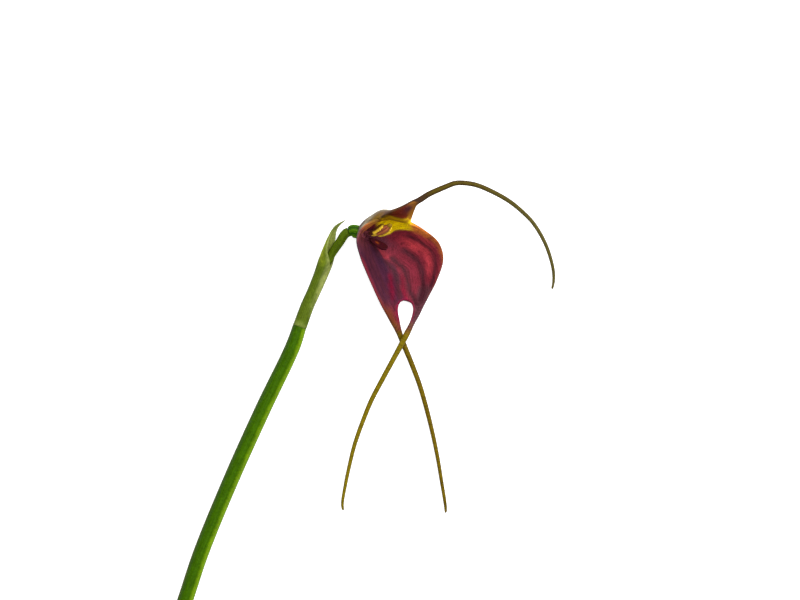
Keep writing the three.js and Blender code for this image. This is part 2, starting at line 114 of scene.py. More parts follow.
class FlowerColours(bpy.types.PropertyGroup):
    """Colours of the flower's skins."""

    stem_green: tint("Stem green", "Flower stem, main colour", 52, 88, 0)
    # Painted light: stem lime brightens the stem's flank that faces +X. Painted sheen: stem bloom is a pale
    # reflection along its flank that faces -X.
    stem_painted_light: tint("Stem lime", "Flower stem, its bright flank", 106, 140, 0)
    stem_painted_sheen: tint("Stem bloom", "Flower stem, painted sheen on its other flank", 92, 88, 34)
    stem_cut: tint("Stem cut", "Flower stem, pith at its cut end", 190, 200, 130)
    bract_olive: tint("Bract olive", "Bract, main colour", 86, 104, 18)
    bract_lemon: tint("Bract lemon", "Bract, foot of its free tip", 140, 152, 34)
    bract_rib: tint("Bract rib", "Bract, its ribs", 70, 88, 10)
    bract_grey: tint("Bract grey", "Bract, its faded stripe", 96, 106, 54)
    bract_tip: tint("Bract tip", "Bract, its free tip", 58, 84, 14)
    bract_pale: tint("Bract pale", "Bract, its thin pale edges and inner side", 150, 160, 84)
    pedicel_green: tint("Pedicel green", "Pedicel, main colour", 74, 94, 6)
    # Painted light: pedicel lime brightens the pedicel's flank that faces +X.
    pedicel_painted_light: tint("Pedicel lime", "Pedicel, its bright flank", 94, 120, 6)
    ovary_green: tint("Ovary green", "Ovary, main colour", 36, 80, 0)
    ovary_lime: tint("Ovary lime", "Ovary, its ribs", 80, 120, 0)
    crimson: tint("Crimson", "Inside of the lateral sepals", 122, 37, 52)
    # Painted highlight: rose brightens the parts of the far sepal that catch the most light.
    rose: tint("Rose", "Their brightest part", 184, 60, 68)
    maroon: tint("Maroon", "Veins of the sepals and stripes of the column", 72, 30, 40)
    # Plum is partly the near sepal's own darker pigment and partly painted shade, where its inner face turns
    # away from the light.
    plum: tint("Plum", "Inside of the near lateral sepal", 72, 33, 54)
    dusk: tint("Dusk", "Lower part of the far lateral sepal", 88, 48, 56)
    blush: tint("Blush", "Near lateral sepal beside the column", 112, 52, 60)
    carmine: tint("Carmine", "Stripes beside the fold", 112, 12, 38)
    violet: tint("Violet", "Sheen along the fold of the calyx", 56, 30, 50)
    cerise: tint("Cerise", "Rim of the gap between the two lobes", 132, 16, 56)
    # Painted shade: throat dark darkens the deep bottom of the cup and the hollows next to it.
    throat_shade: tint("Throat dark", "Bottom of the cup", 90, 41, 54)
    root_orange: tint("Root orange", "Outer edge at the roots of the lower tails", 104, 50, 28)
    gold: tint("Gold", "Throat of the flower, inside of the dorsal sepal", 255, 222, 8)
    ochre: tint("Ochre", "Shaded gold of the dorsal sepal and the far petal", 176, 150, 8)
    patch_red: tint("Patch red", "Patch inside the dorsal sepal", 108, 38, 18)
    olive_gold: tint("Olive gold", "Shoulder of the tube and tip of the near petal", 116, 86, 14)
    # Painted highlight: translucent is a pale reflection painted along the tube's outline.
    painted_rim_highlight: tint("Translucent", "Thin rim of the tube", 164, 156, 130)
    amber: tint("Amber", "Edges of the sepals next to the throat", 150, 78, 34)
    sienna: tint("Sienna", "Edges of the sepals at the mouth", 206, 116, 48)
    sepia: tint("Sepia", "Edges of the dorsal sepal", 62, 42, 28)
    # Painted shade: russet is the tails' olive painted darker on the near tail.
    russet: tint("Russet", "Tail of the near lateral sepal", 92, 72, 0)
    tawny: tint("Tawny", "Edges of the patch inside the dorsal sepal", 148, 94, 26)
    # Painted shade: tube plum darkens the ends of the ovary and the column that sit deep in the tube.
    tube_shade: tint("Tube plum", "Ends of the ovary and the column in the tube", 132, 66, 78)
    rust: tint("Rust", "Outer edges of the lateral sepals", 110, 52, 36)
    olive: tint("Olive", "Tails of the lateral sepals", 112, 96, 4)
    umber: tint("Umber", "Tail and edges of the dorsal sepal", 80, 67, 6)
    tail_grey: tint("Tail grey", "Dorsal tail towards its tip", 84, 76, 34)
    mauve: tint("Mauve", "Back of the tube", 96, 74, 68)
    bronze: tint("Bronze", "Outside of the sepals", 106, 42, 50)
    # Painted shade: petal brown is the petal colour darkened on the near petal, which lies in the tube's
    # shade.
    near_petal_shade: tint("Petal shaded", "Near petal, main colour", 92, 50, 34)
    petal_yellow: tint("Petal yellow", "Far petal, fringe of the near one, foot of the column", 255, 216, 64)
    column_pink: tint("Column pink", "Column", 176, 102, 62)
    cap_cream: tint("Cap cream", "Anther cap, its sides and foot", 140, 100, 34)
    cap_top: tint("Cap top", "Anther cap, its top", 136, 106, 20)
    lip_maroon: tint("Lip maroon", "Lip", 66, 16, 28)
    lip_orange: tint("Lip orange", "Callus at the middle of the lip", 146, 64, 24)


# ---------------------------------------------------------------- stations of the calyx
# One row of a rail is one station, from the ring to the notch, the sinus and on to the tail.
NEAR_EDGE = [
    (-5.75, 13.02, 6.62),
    (-3.62, 13.48, 8.76),
    (-6.0, 12.33, 10.4),
    (-7.03, 10.33, 11.0),
    (-6.58, 7.42, 10.4),
    (-5.5, 4.5, 9.1),
    (-4.25, 1.5, 7.3),
    (-3.15, -0.9, 5.6),
    (-2.45, -2.2, 4.6),
    (-1.72, -3.6, 3.5),
]
NEAR_MIDDLE = [
    (-6.85, 11.0, 5.2),
    (-6.95, 10.7, 6.4),
    (-6.75, 9.8, 6.4),
    (-6.15, 8.4, 5.6),
    (-5.17, 6.4, 4.8),
    (-3.92, 4.0, 4.1),
    (-2.1, 1.0, 3.6),
    (-1.6, -0.85, 3.7),
    (-1.4, -2.0, 3.6),
    (-0.92, -3.55, 2.9),
]
KEEL = [
    (-5.55, 9.9, 2.1),
    (-4.5, 9.05, 1.4),
    (-3.75, 8.15, 1.05),
    (-3.0, 7.0, 0.95),
    (-2.08, 5.3, 0.95),
    (-1.0, 3.2, 1.15),
    (0.83, 0.0, 1.8),
]
FAR_MIDDLE = [
    (-3.33, 11.33, 1.6),
    (-1.0, 10.5, 1.2),
    (0.67, 9.5, 1.0),
    (1.83, 8.0, 0.9),
    (2.67, 6.0, 0.9),
    (3.0, 3.5, 1.1),
    (3.0, 0.83, 1.7),
    (2.85, -0.8, 2.1),
    (2.65, -2.0, 2.3),
    (2.05, -3.58, 2.45),
]
FAR_EDGE = [
    (-2.7, 13.55, 3.24),
    (1.54, 12.89, 5.35),
    (4.0, 11.67, 5.2),
    (6.42, 9.58, 4.7),
    (7.17, 6.92, 4.1),
    (6.15, 3.5, 3.5),
    (4.72, 0.67, 3.0),
    (3.83, -1.0, 2.8),
    (3.17, -2.33, 2.7),
    (2.45, -3.7, 2.6),
]
NEAR_INNER = [(-0.1, -0.4, 2.4), (-0.47, -1.6, 2.8), (-0.15, -3.5, 2.4)]
FAR_INNER = [(1.75, -0.38, 1.9), (2.1, -1.4, 2.1), (1.65, -3.45, 2.35)]
NEAR_TAIL = [
    (-0.17, -5.5, 1.85),
    (0.38, -6.95, 1.3),
    (1.93, -10.73, 1.15),
    (3.22, -14.17, 1.05),
    (4.38, -18.17, 0.9),
    (5.33, -22.0, 0.75),
    (6.17, -26.0, 0.6),
    (6.93, -30.5, 0.4),
    (7.57, -34.6, 0.22),
    (7.62, -35.7, 0.18),
]
FAR_TAIL = [
    (1.12, -5.5, 2.5),
    (0.38, -6.95, 2.45),
    (-1.0, -9.5, 2.35),
    (-3.17, -13.5, 2.1),
    (-4.83, -16.67, 1.8),
    (-6.33, -20.33, 1.45),
    (-7.67, -24.17, 1.1),
    (-8.5, -27.5, 0.8),
    (-9.22, -30.93, 0.5),
    (-9.73, -34.2, 0.25),
    (-9.6, -35.3, 0.18),
]
DORSAL_NEAR = [(-1.95, 14.4, 8.9), (0.33, 15.55, 8.8), (1.95, 16.45, 8.6)]
DORSAL_RIDGE = [
    (-4.55, 13.85, 5.3),
    (-2.75, 14.78, 6.95),
    (-1.0, 14.65, 7.5),
    (1.28, 15.3, 7.7),
    (2.35, 16.1, 8.2),
]
DORSAL_FAR = [(1.95, 13.85, 6.0), (2.38, 15.0, 7.1), (2.75, 15.75, 7.9)]
DORSAL_TAIL = [
    (3.5, 16.78, 8.5),
    (4.62, 17.5, 8.8),
    (7.33, 18.7, 9.15),
    (9.08, 19.34, 9.1),
    (10.83, 19.36, 8.8),
    (12.67, 19.03, 8.3),
    (15.33, 17.95, 7.3),
    (18.08, 16.45, 6.0),
    (20.33, 14.7, 4.8),
    (22.17, 12.85, 3.6),
    (24.0, 9.95, 2.3),
    (25.14, 7.1, 1.2),
    (25.68, 4.7, 0.6),
    (25.7, 3.1, 0.3),
    (25.45, 1.82, 0.2),
]
NOTCH = 2  # the station where the dorsal sepal parts from the lateral ones
SINUS = len(KEEL)  # the station where the two lateral sepals part
BLADE_END = len(NEAR_EDGE)  # the last station of a lateral blade

# The ring where the calyx sits on the ovary, and places on it in degrees from its dorsal side.
RING_CENTRE = np.array((-6.25, 11.37, 3.2))
RING_DORSAL = np.array((0.0, 1.0, 0.0))
RING_NEAR = np.array((-0.5, 0.0, 0.87))
SEAM_ANGLE = 48
MIDDLE_ANGLE = 120
KEEL_ANGLE = 180

# ---------------------------------------------------------------- lines of the other pieces
STEM_LINE = [
    (-43.8, -73.5),
    (-39.9, -61.7),
    (-35.92, -49.83),
    (-33.42, -42.33),
    (-28.5, -30.33),
    (-23.08, -18.33),
    (-18.0, -7.67),
    (-16.83, -4.2),
]
BRACT_LINE = [
    (-16.86, -4.42, 1.17),
    (-15.55, -0.88, 1.2),
    (-14.42, 1.62, 1.25),
    (-13.33, 4.25, 1.35),
    (-12.58, 6.25, 1.5),
    (-11.95, 8.15, 1.75),
    (-11.35, 10.15, 2.1),
    (-10.6, 12.05, 2.5),
    (-9.0, 13.5, 2.9),
]
BRACT_RADII = [1.17, 1.13, 1.13, 1.2, 1.28, 1.18, 0.92, 0.56, 0.13]
BRACT_WRAP = [179.5, 179.5, 179.5, 179.5, 176, 118, 86, 70, 50]  # half of the wrapped angle, in degrees
BRACT_BACK = np.array((-0.75, 0.25, -0.6))
PEDICEL_LINE = [
    (-16.2, -2.9, 1.22),
    (-14.42, 1.62, 1.3),
    (-12.9, 5.22, 1.45),
    (-11.2, 8.2, 1.85),
    (-10.1, 9.8, 2.3),
    (-9.5, 10.75, 2.58),
    (-9.05, 11.25, 2.7),
    (-8.66, 11.42, 2.76),
]
OVARY_LINE = [
    (-8.6, 11.45, 2.77),
    (-8.0, 11.62, 2.78),
    (-7.3, 11.45, 2.82),
    (-6.75, 11.38, 2.95),
    (-6.05, 11.37, 3.3),
]
COLUMN_LINE = [
    (-5.94, 11.36, 3.36),
    (-4.9, 11.15, 3.8),
    (-3.5, 11.35, 4.7),
    (-2.5, 11.88, 5.7),
    (-2.05, 12.2, 6.3),
]
# The middle of the anther cap, which ties the drawing to the frame.
CAP_CENTRE = (-1.77, 12.4, 6.62)
NEAR_PETAL_LINE = [(-5.3, 11.0, 4.5), (-4.05, 11.7, 5.45), (-2.75, 12.65, 6.6)]
FAR_PETAL_LINE = [(-3.91, 10.83, 3.5), (-2.51, 11.33, 4.55), (-1.46, 12.13, 5.65)]
PETAL_ACROSS = np.array((-0.25, 0.9, -0.35))
LIP_LINE = [(-5.2, 10.3, 2.75), (-4.3, 9.75, 2.5), (-3.4, 9.2, 2.7), (-2.7, 8.75, 3.3), (-2.35, 8.5, 3.9)]
LIP_ACROSS = np.array((-0.6, -0.5, 0.6))
UP = np.array((0.0, 0.0, 1.0))


# ---------------------------------------------------------------- curves and shares
TINY = 1e-9
NEARBY = 0.01  # how many stations apart two places are read for a direction
CORNERS_PER_STATION = 8  # of a line of markings
WAVES = 5  # that cross in a ripple


def smooth(low, high, value):
    """0 below low, 1 above high and an S-shaped ramp between them. low may be the larger."""
    t = np.clip((np.asarray(value, float) - low) / (high - low), 0.0, 1.0)
    return t * t * (3 - 2 * t)


def blend(a, b, share):
    return a + (b - a) * share


def unit(vectors):
    vectors = np.asarray(vectors, float)
    return vectors / np.maximum(np.linalg.norm(vectors, axis=-1, keepdims=True), TINY)


def hermite(t, a, b, start, end):
    """The cubic curve that leaves a along start at t = 0 and reaches b along end at t = 1."""
    t2, t3 = t * t, t * t * t
    return (2 * t3 - 3 * t2 + 1) * a + (t3 - 2 * t2 + t) * start + (3 * t2 - 2 * t3) * b + (t3 - t2) * end


def rail(stations):
    """A smooth curve through stations. It is read at a station number, which may lie between two."""
    p = np.array(stations, float)
    last = len(p) - 1

    def at(station):
        station = min(max(station, 0.0), last)
        i = min(int(station), last - 1)
        p1, p2 = p[i], p[i + 1]
        p0 = p[i - 1] if i > 0 else 2 * p1 - p2
        p3 = p[i + 2] if i + 2 <= last else 2 * p2 - p1
        d0, d1, d2 = (np.sum((b - a) ** 2) ** 0.25 for a, b in ((p0, p1), (p1, p2), (p2, p3)))
        start = d1 * ((p1 - p0) / d0 - (p2 - p0) / (d0 + d1) + (p2 - p1) / d1)
        end = d1 * ((p2 - p1) / d1 - (p3 - p1) / (d1 + d2) + (p3 - p2) / d2)
        return hermite(station - i, p1, p2, start, end)

    return at


def along_rail(stations, steps):
    """Points and directions at even station steps from the first station to the last."""
    at = rail(stations)
    last = len(stations) - 1
    places = np.linspace(0, last, steps + 1)
    points = np.array([at(s) for s in places])
    ahead = np.array([at(min(s + NEARBY, last)) for s in places])
    behind = np.array([at(max(s - NEARBY, 0)) for s in places])
    return points, unit(ahead - behind)


def spread(values, share):
    """Values given at even shares from 0 to 1, read at a share on a smooth curve through them."""
    v = np.array([2 * values[0] - values[1], *values, 2 * values[-1] - values[-2]], float)
    station = np.clip(share, 0.0, 1.0) * (len(values) - 1)
    i = np.minimum(np.asarray(station).astype(int), len(values) - 2)
    p0, p1, p2, p3 = v[i], v[i + 1], v[i + 2], v[i + 3]
    return hermite(station - i, p1, p2, (p2 - p0) / 2, (p3 - p1) / 2)


def crowded_shares(columns):
    """Shares from 0 to 1 that stand closer together towards both ends."""
    return 0.5 - 0.5 * np.cos(np.pi * np.arange(columns + 1) / columns)


def off_line(points, line):
    """Signed distance of points, seen from above, to a line of (x, y) corners: positive on its left."""
    p = np.asarray(points, float)[..., :2]
    corners = np.array(line, float)
    nearest = np.full(p.shape[:-1], np.inf)
    signed = np.zeros(p.shape[:-1])
    for a, b in zip(corners[:-1], corners[1:]):
        d = b - a
        t = np.clip(((p - a) @ d) / (d @ d), 0, 1)
        gap = p - a - t[..., None] * d
        distance = np.linalg.norm(gap, axis=-1)
        turn = d[0] * (p[..., 1] - a[1]) - d[1] * (p[..., 0] - a[0])
        closer = distance < nearest - TINY
        nearest = np.where(closer, distance, nearest)
        signed = np.where(closer, np.sign(turn) * distance, signed)
    return signed


def curve_through(line):
    """The (x, y) corners of a smooth line through a few given points."""
    at = rail([(x, y, 0.0) for x, y in line])
    count = (len(line) - 1) * CORNERS_PER_STATION + 1
    return [tuple(at(i / CORNERS_PER_STATION)[:2]) for i in range(count)]


def near_line(points, line, width):
    """1 on a line seen from above, falling to 0 about width away from it."""
    return np.exp(-((off_line(points, line) / width) ** 2))


def near_spot(points, centre, reach_x, reach_y, turn=0.0):
    """1 in the middle of an oval spot seen from above, turned by degrees, and 0 well outside it."""
    p = np.asarray(points, float)[..., :2] - np.array(centre)
    angle = math.radians(turn)
    u = (p[..., 0] * math.cos(angle) + p[..., 1] * math.sin(angle)) / reach_x
    v = (-p[..., 0] * math.sin(angle) + p[..., 1] * math.cos(angle)) / reach_y
    return np.exp(-(u * u + v * v))


def ripple(points, size, seed):
    """Soft unevenness from -1 to 1, made of a few crossing waves, size millimetres long."""
    p = np.asarray(points, float)
    total = np.zeros(p.shape[:-1])
    for k in range(WAVES):
        angle = seed + 2.4 * k
        way = np.array((math.cos(angle), math.sin(angle), math.sin(1.7 * angle)))
        total += np.sin((p @ way) * (2 * np.pi / size) * (1 + 0.27 * k) + 1.3 * seed * (k + 1))
    return total / WAVES


# ---------------------------------------------------------------- from drawn points to objects
WELD_GAP = 2e-7  # metres


def place(points):
    """Drawn millimetres to the frame's metres. The middle of the frame's anther cap ties them together."""
    low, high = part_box("anther_cap")
    shift = np.array((low + high) / 2) / MM - np.array(CAP_CENTRE)
    return (np.asarray(points, float) + shift) * MM


class Block:
    """A patch of faces: its points, its faces and one value for each point under each mark's name."""

    def __init__(self, points, faces, marks):
        self.points = np.asarray(points, float).reshape(-1, 3)
        self.faces = faces
        self.marks = {name: np.broadcast_to(v, (len(self.points),)) for name, v in marks.items()}


def quads(rows, columns, first=0, wrap=False, turn=False):
    """Faces of a grid of points kept row by row."""
    faces = []
    for i in range(rows - 1):
        for j in range(columns if wrap else columns - 1):
            k = (j + 1) % columns
            a, b = first + i * columns + j, first + i * columns + k
            c, d = b + columns, a + columns
            faces.append((a, d, c, b) if turn else (a, b, c, d))
    return faces


def weld(mesh):
    """Joins the points that lie on each other and turns all faces outwards."""
    work = bmesh.new()
    work.from_mesh(mesh)
    bmesh.ops.remove_doubles(work, verts=work.verts, dist=WELD_GAP)
    bmesh.ops.dissolve_degenerate(work, edges=work.edges, dist=WELD_GAP)
    bmesh.ops.recalc_face_normals(work, faces=work.faces)
    work.to_mesh(mesh)
    work.free()


def make_piece(name, blocks, material, node):
    """One object from its blocks, that stands for a node of the frame."""
    points = np.concatenate([block.points for block in blocks])
    faces = []
    first = 0
    for block in blocks:
        faces += [tuple(first + k for k in face) for face in block.faces]
        first += len(block.points)
    mesh = bpy.data.meshes.new(name)
    mesh.from_pydata([tuple(p) for p in place(points)], [], faces)
    for mark in sorted({m for block in blocks for m in block.marks}):
        values = [block.marks.get(mark, np.zeros(len(block.points))) for block in blocks]
        mesh.attributes.new(mark, "FLOAT", "POINT").data.foreach_set("value", np.concatenate(values))
    weld(mesh)
    mesh.polygons.foreach_set("use_smooth", [True] * len(mesh.polygons))
    mesh.materials.append(material)
    piece = bpy.data.objects.new(name, mesh)
    bpy.context.scene.collection.objects.link(piece)
    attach(piece, "root")
    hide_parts(node)


# ---------------------------------------------------------------- round stalks
CUT_END = [(0.98, 0.05), (0.93, 0.08), (0.8, 0.07), (0.45, 0.02), (0.0, 0.0)]
ROUND_END = [(math.cos(a), math.sin(a)) for a in np.radians((18, 36, 54, 72, 90))]
FLAT_END = [(0.96, 0.03), (0.6, 0.03), (0.0, 0.03)]


def stalk(line, steps, sides, radius_at, ends, marks_at):
    """A round solid along a line.

    radius_at(share, angle) is its outline. ends are the two lists of (share of the radius, how far the
    end stands out, in radii). marks_at(share, angle, out) gives the marks, where out points away from the
    line. The mark "cut" is 1 on the end faces.
    """
    centres, ways = along_rail(line, steps)
    shares = np.linspace(0, 1, steps + 1)
    centre, way, share, scale = [], [], [], []
    for radius_share, out in reversed(ends[0]):
        centre.append(centres[0] - ways[0] * out * np.mean(radius_at(0.0, np.zeros(1))))
        way.append(ways[0])
        share.append(0.0)
        scale.append(radius_share)
    centre += list(centres)
    way += list(ways)
    share += list(shares)
    scale += [1.0] * (steps + 1)
    for radius_share, out in ends[1]:
        centre.append(centres[-1] + ways[-1] * out * np.mean(radius_at(1.0, np.zeros(1))))
        way.append(ways[-1])
        share.append(1.0)
        scale.append(radius_share)
    centre, way = np.array(centre), np.array(way)
    side = unit(np.cross(way, UP))
    top = np.cross(side, way)
    angle = 2 * np.pi * np.arange(sides) / sides
    grid_share = np.repeat(np.array(share)[:, None], sides, axis=1)
    grid_angle = np.repeat(angle[None, :], len(share), axis=0)
    radius = radius_at(grid_share, grid_angle) * np.array(scale)[:, None]
    out = top[:, None] * np.cos(grid_angle)[..., None] + side[:, None] * np.sin(grid_angle)[..., None]
    points = centre[:, None] + out * radius[..., None]
    marks = {name: np.ravel(v) for name, v in marks_at(grid_share, grid_angle, out).items()}
    marks["cut"] = np.repeat(smooth(0.99, 0.9, np.array(scale)), sides)
    return Block(points, quads(len(share), sides, wrap=True), marks)


# ---------------------------------------------------------------- sheets
BLADE_POWER = 7.0  # how square the section of a blade is
TAIL_POWER = 2.0  # a tail's section is round
RELIEF_WALL = 0.3  # a wall thinner than this carries less relief
# Where two sheets part, their first columns run along the gap and take their normals from the next one.
PARTING_ROWS = 16
PARTING_COLUMNS = 5


def edge_fall(s, roundness, first_edge, last_edge):
    """Thickness across a sheet as a share of its wall: flat in a blade, round in a tail."""
    power = blend(BLADE_POWER, TAIL_POWER, roundness)
    fall = np.sqrt(np.maximum(0, 1 - np.abs(2 * s - 1) ** power))
    return np.where(s < 0.5, blend(1.0, fall, first_edge), blend(1.0, fall, last_edge))


def across_row(a, m, b, s, start, end):
    """Points of a row from a through m to b, and the row's direction at each. start and end are its
    directions at a and b."""
    middle = b - a
    first = (s < 0.5)[:, None]
    p, q = np.where(first, a, m), np.where(first, m, b)
    u, v = np.where(first, start, middle), np.where(first, middle, end)
    t = np.where(s < 0.5, 2 * s, 2 * s - 1)[:, None]
    ways = 12 * (t * t - t) * (p - q) + (3 * t * t - 4 * t + 1) * u + (3 * t * t - 2 * t) * v
    return hermite(t, p, q, u / 2, v / 2), ways


def sheet_blocks(middle, ways, wall, side, marks_at, relief_at=None, joined_rows=0):
    """The faces of a sheet from its middle surface, the row directions and its thickness.

    marks_at(points, inside) gives the marks of the inner or the outer face, and relief_at(points) how far
    the inner face stands out. Up to joined_rows, the first column joins another sheet.
    """
    ahead = np.concatenate([middle[1:], middle[-1:]])
    behind = np.concatenate([middle[:1], middle[:-1]])
    if joined_rows:
        ahead[joined_rows, 0] = middle[joined_rows, 0]
    normal = unit(np.cross(ahead - behind, ways)) * side
    if joined_rows:
        parting = slice(joined_rows + 1, joined_rows + PARTING_ROWS)
        normal[parting, :PARTING_COLUMNS] = normal[parting, PARTING_COLUMNS : PARTING_COLUMNS + 1]
    inner = middle + normal * (wall / 2)[..., None]
    outer = middle - normal * (wall / 2)[..., None]
    if relief_at is not None:
        inner = inner + normal * (relief_at(inner) * smooth(0.0, RELIEF_WALL, wall))[..., None]
    rows, columns = wall.shape
    count = rows * columns
    faces = quads(rows, columns) + quads(rows, columns, first=count, turn=True)
    ends = [(a, a + 1) for first in (0, count - columns) for a in range(first, first + columns - 1)]
    edges = [i * columns + j for i in range(rows - 1) for j in (0, columns - 1) if j or i >= joined_rows]
    for a, b in ends + [(a, a + columns) for a in edges]:
        faces.append((a, b, b + count, a + count))
    marks_in, marks_out = marks_at(inner, True), marks_at(outer, False)
    marks = {name: np.concatenate([np.ravel(marks_in[name]), np.ravel(marks_out[name])]) for name in marks_in}
    return [Block(np.concatenate([inner.reshape(-1, 3), outer.reshape(-1, 3)]), faces, marks)]


# ---------------------------------------------------------------- lines of the markings, seen from above
OUTER_VEIN = curve_through(
    [(0.2, 11.05), (2.13, 10.4), (3.92, 9.4), (5.2, 8.2), (5.7, 7.0), (5.78, 5.4), (5.5, 3.6), (5.1, 2.4)]
)
MIDDLE_VEIN = curve_through(
    [(0.7, 8.3), (1.5, 7.75), (2.26, 7.15), (2.9, 6.5), (3.35, 5.75),
     (3.65, 4.1), (3.85, 2.6), (3.7, 1.2), (3.4, 0.2)]
)
INNER_VEIN = curve_through(
    [(-1.3, 7.0), (-0.44, 6.25), (0.33, 5.5), (0.85, 4.75), (1.2, 3.7),
     (1.4, 2.2), (1.65, 1.4), (2.1, 0.5), (2.6, -0.6)]
)
FOLD_VEIN = curve_through([(-2.6, 6.6), (-1.75, 5.75), (-0.95, 4.75), (-0.55, 3.8), (-0.4, 2.1), (-0.1, 0.4)])
NEAR_VEIN = curve_through([(-5.2, 8.4), (-4.4, 6.2), (-3.3, 3.6), (-2.3, 1.2), (-1.7, -0.6)])
NEAR_OUTER_VEIN = curve_through(
    [(-5.9, 10.6), (-5.75, 8.2), (-4.9, 5.6), (-3.9, 3.0), (-2.9, 0.6), (-2.2, -1.4)]
)
BRACT_BAND = [(-10.83, 7.2), (-11.4, 6.17), (-12.9, 2.83), (-14.2, -0.67), (-15.2, -3.5)]
GAP_VEIN = [(-0.92, -0.22), (-1.12, -1.0), (-1.0, -1.67)]
FAR_STRIPE = [(0.3, 3.9), (0.45, 2.2), (0.75, 0.7)]
NEAR_STRIPE = [(-1.6, 4.2), (-1.5, 2.4), (-1.3, 0.3)]
FOLD_LINE = curve_through([(-3.68, 8.5), (-2.98, 6.97), (-1.82, 5.92), (-0.9, 4.6), (-0.45, 2.9)])
THROAT_LINE = curve_through(
    [(-5.2, 10.7), (-3.0, 10.72), (-1.83, 11.13), (-0.9, 11.62), (1.5, 11.67), (2.6, 11.6), (5.0, 12.3)]
)
PATCH_LINE = curve_through(
    [(-3.2, 13.55), (-1.83, 13.98), (-0.67, 13.62), (0.6, 13.42),
     (1.4, 13.9), (1.95, 15.0), (2.4, 15.8), (4.5, 17.0)]
)
# The outline of the dome seen from above, along which a highlight is painted.
DOME_RIM = curve_through(
    [(-7.1, 11.2), (-6.6, 11.9), (-5.2, 13.5), (-3.9, 14.75), (-2.9, 15.1), (-1.2, 14.95)]
)


def drawn(stations):
    """The (x, y) corners of a rail's stations."""
    return curve_through([(x, y) for x, y, _ in stations])


KEEL_LINE = drawn(KEEL)
GAP_RIM = drawn([*reversed(NEAR_INNER), KEEL[-1], *FAR_INNER])
FAR_MARGIN = drawn(FAR_EDGE[NOTCH - 1 :])
NEAR_MARGIN = drawn(NEAR_EDGE[NOTCH - 1 :])
DORSAL_MARGIN = drawn([NEAR_EDGE[NOTCH - 1], *DORSAL_NEAR, *DORSAL_TAIL[:2]])
DORSAL_CORE = drawn(DORSAL_TAIL)


# The lateral sepals' marks in the order in which their colours are laid, each with its colour's setting.
SYNSEPAL_LAYERS = {
    "outside": "bronze",
    "rose": "rose",
    "plum": "plum",
    "dusk": "dusk",
    "blush": "blush",
    "violet": "violet",
    "stripe": "carmine",
    "rust": "rust",
    "amber": "amber",
    "vein": "maroon",
    "root": "root_orange",
    "gold": "gold",
    "sienna": "sienna",
    "dome": "mauve",
    "pale": "painted_rim_highlight",
    "shoulder": "olive_gold",
    "dark": "throat_shade",
    "cerise": "cerise",
    "russet": "russet",
    "olive": "olive",
}
# The share of a mark that is left on the outer face.
OUTER_SHARES = {"sienna": 0.5, "cerise": 0.3, "vein": 0.45, "dark": 0.0}


def near_lobe_marks(points, tail):
    """Marks of the near lateral sepal, where tail is 0 on its blade and 1 on its tail."""
    y = points[..., 1]
    margin = np.abs(off_line(points, NEAR_MARGIN))
    vein = 0.55 * near_line(points, NEAR_VEIN, 0.3) + 0.5 * near_line(points, NEAR_OUTER_VEIN, 0.28)
    vein = vein + near_line(points, FOLD_VEIN, 0.38) * smooth(5.6, 4.2, y)
    vein = vein + 0.8 * near_line(points, GAP_VEIN, 0.22)
    # Painted shade in the bottom of the cup and along the fold below the near wall; along the veins the
    # darkening is their own colour.
    dark = 0.5 * near_spot(points, (-4.4, 10.3), 1.0, 0.9) * smooth(11.9, 11.0, y)
    dark = dark + 0.4 * near_line(points, [(-4.3, 9.6), (-3.6, 7.6)], 0.5)
    dark = dark + 0.3 * (near_line(points, NEAR_VEIN, 0.3) + near_line(points, NEAR_OUTER_VEIN, 0.26))
    return {
        "vein": vein * (1 - tail),
        # Darker pigment and painted shade on the near lobe's inner face.
        "plum": smooth(0.05, 0.7, margin + 0.8 * smooth(6.0, 9.0, y)) * smooth(-2.2, 0.4, y),
        "violet": near_line(points, FOLD_LINE, 1.0) * smooth(0.6, 4.0, y) * smooth(10.2, 8.2, y),
        "stripe": 0.8 * near_line(points, NEAR_STRIPE, 0.5),
        "sienna": 0.85 * near_spot(points, (-4.9, 12.3), 1.6, 0.7, 28),
        "rust": 0.4 * smooth(0.7, 0.15, margin) * smooth(-5.5, -3.0, y) * smooth(3.0, -1.0, y),
        "blush": near_spot(points, (-6.3, 10.4), 1.1, 1.8, 10),
        "dark": dark,
        "root": smooth(0.6, -2.6, y) * (1 - tail) * smooth(1.7, 0.4, margin),
        "shoulder": near_spot(points, (-4.1, 13.4), 1.3, 0.7, 38),
        "olive": 0.25 * tail,
        # The near tail is painted darker, as shade.
        "russet": tail,
    }


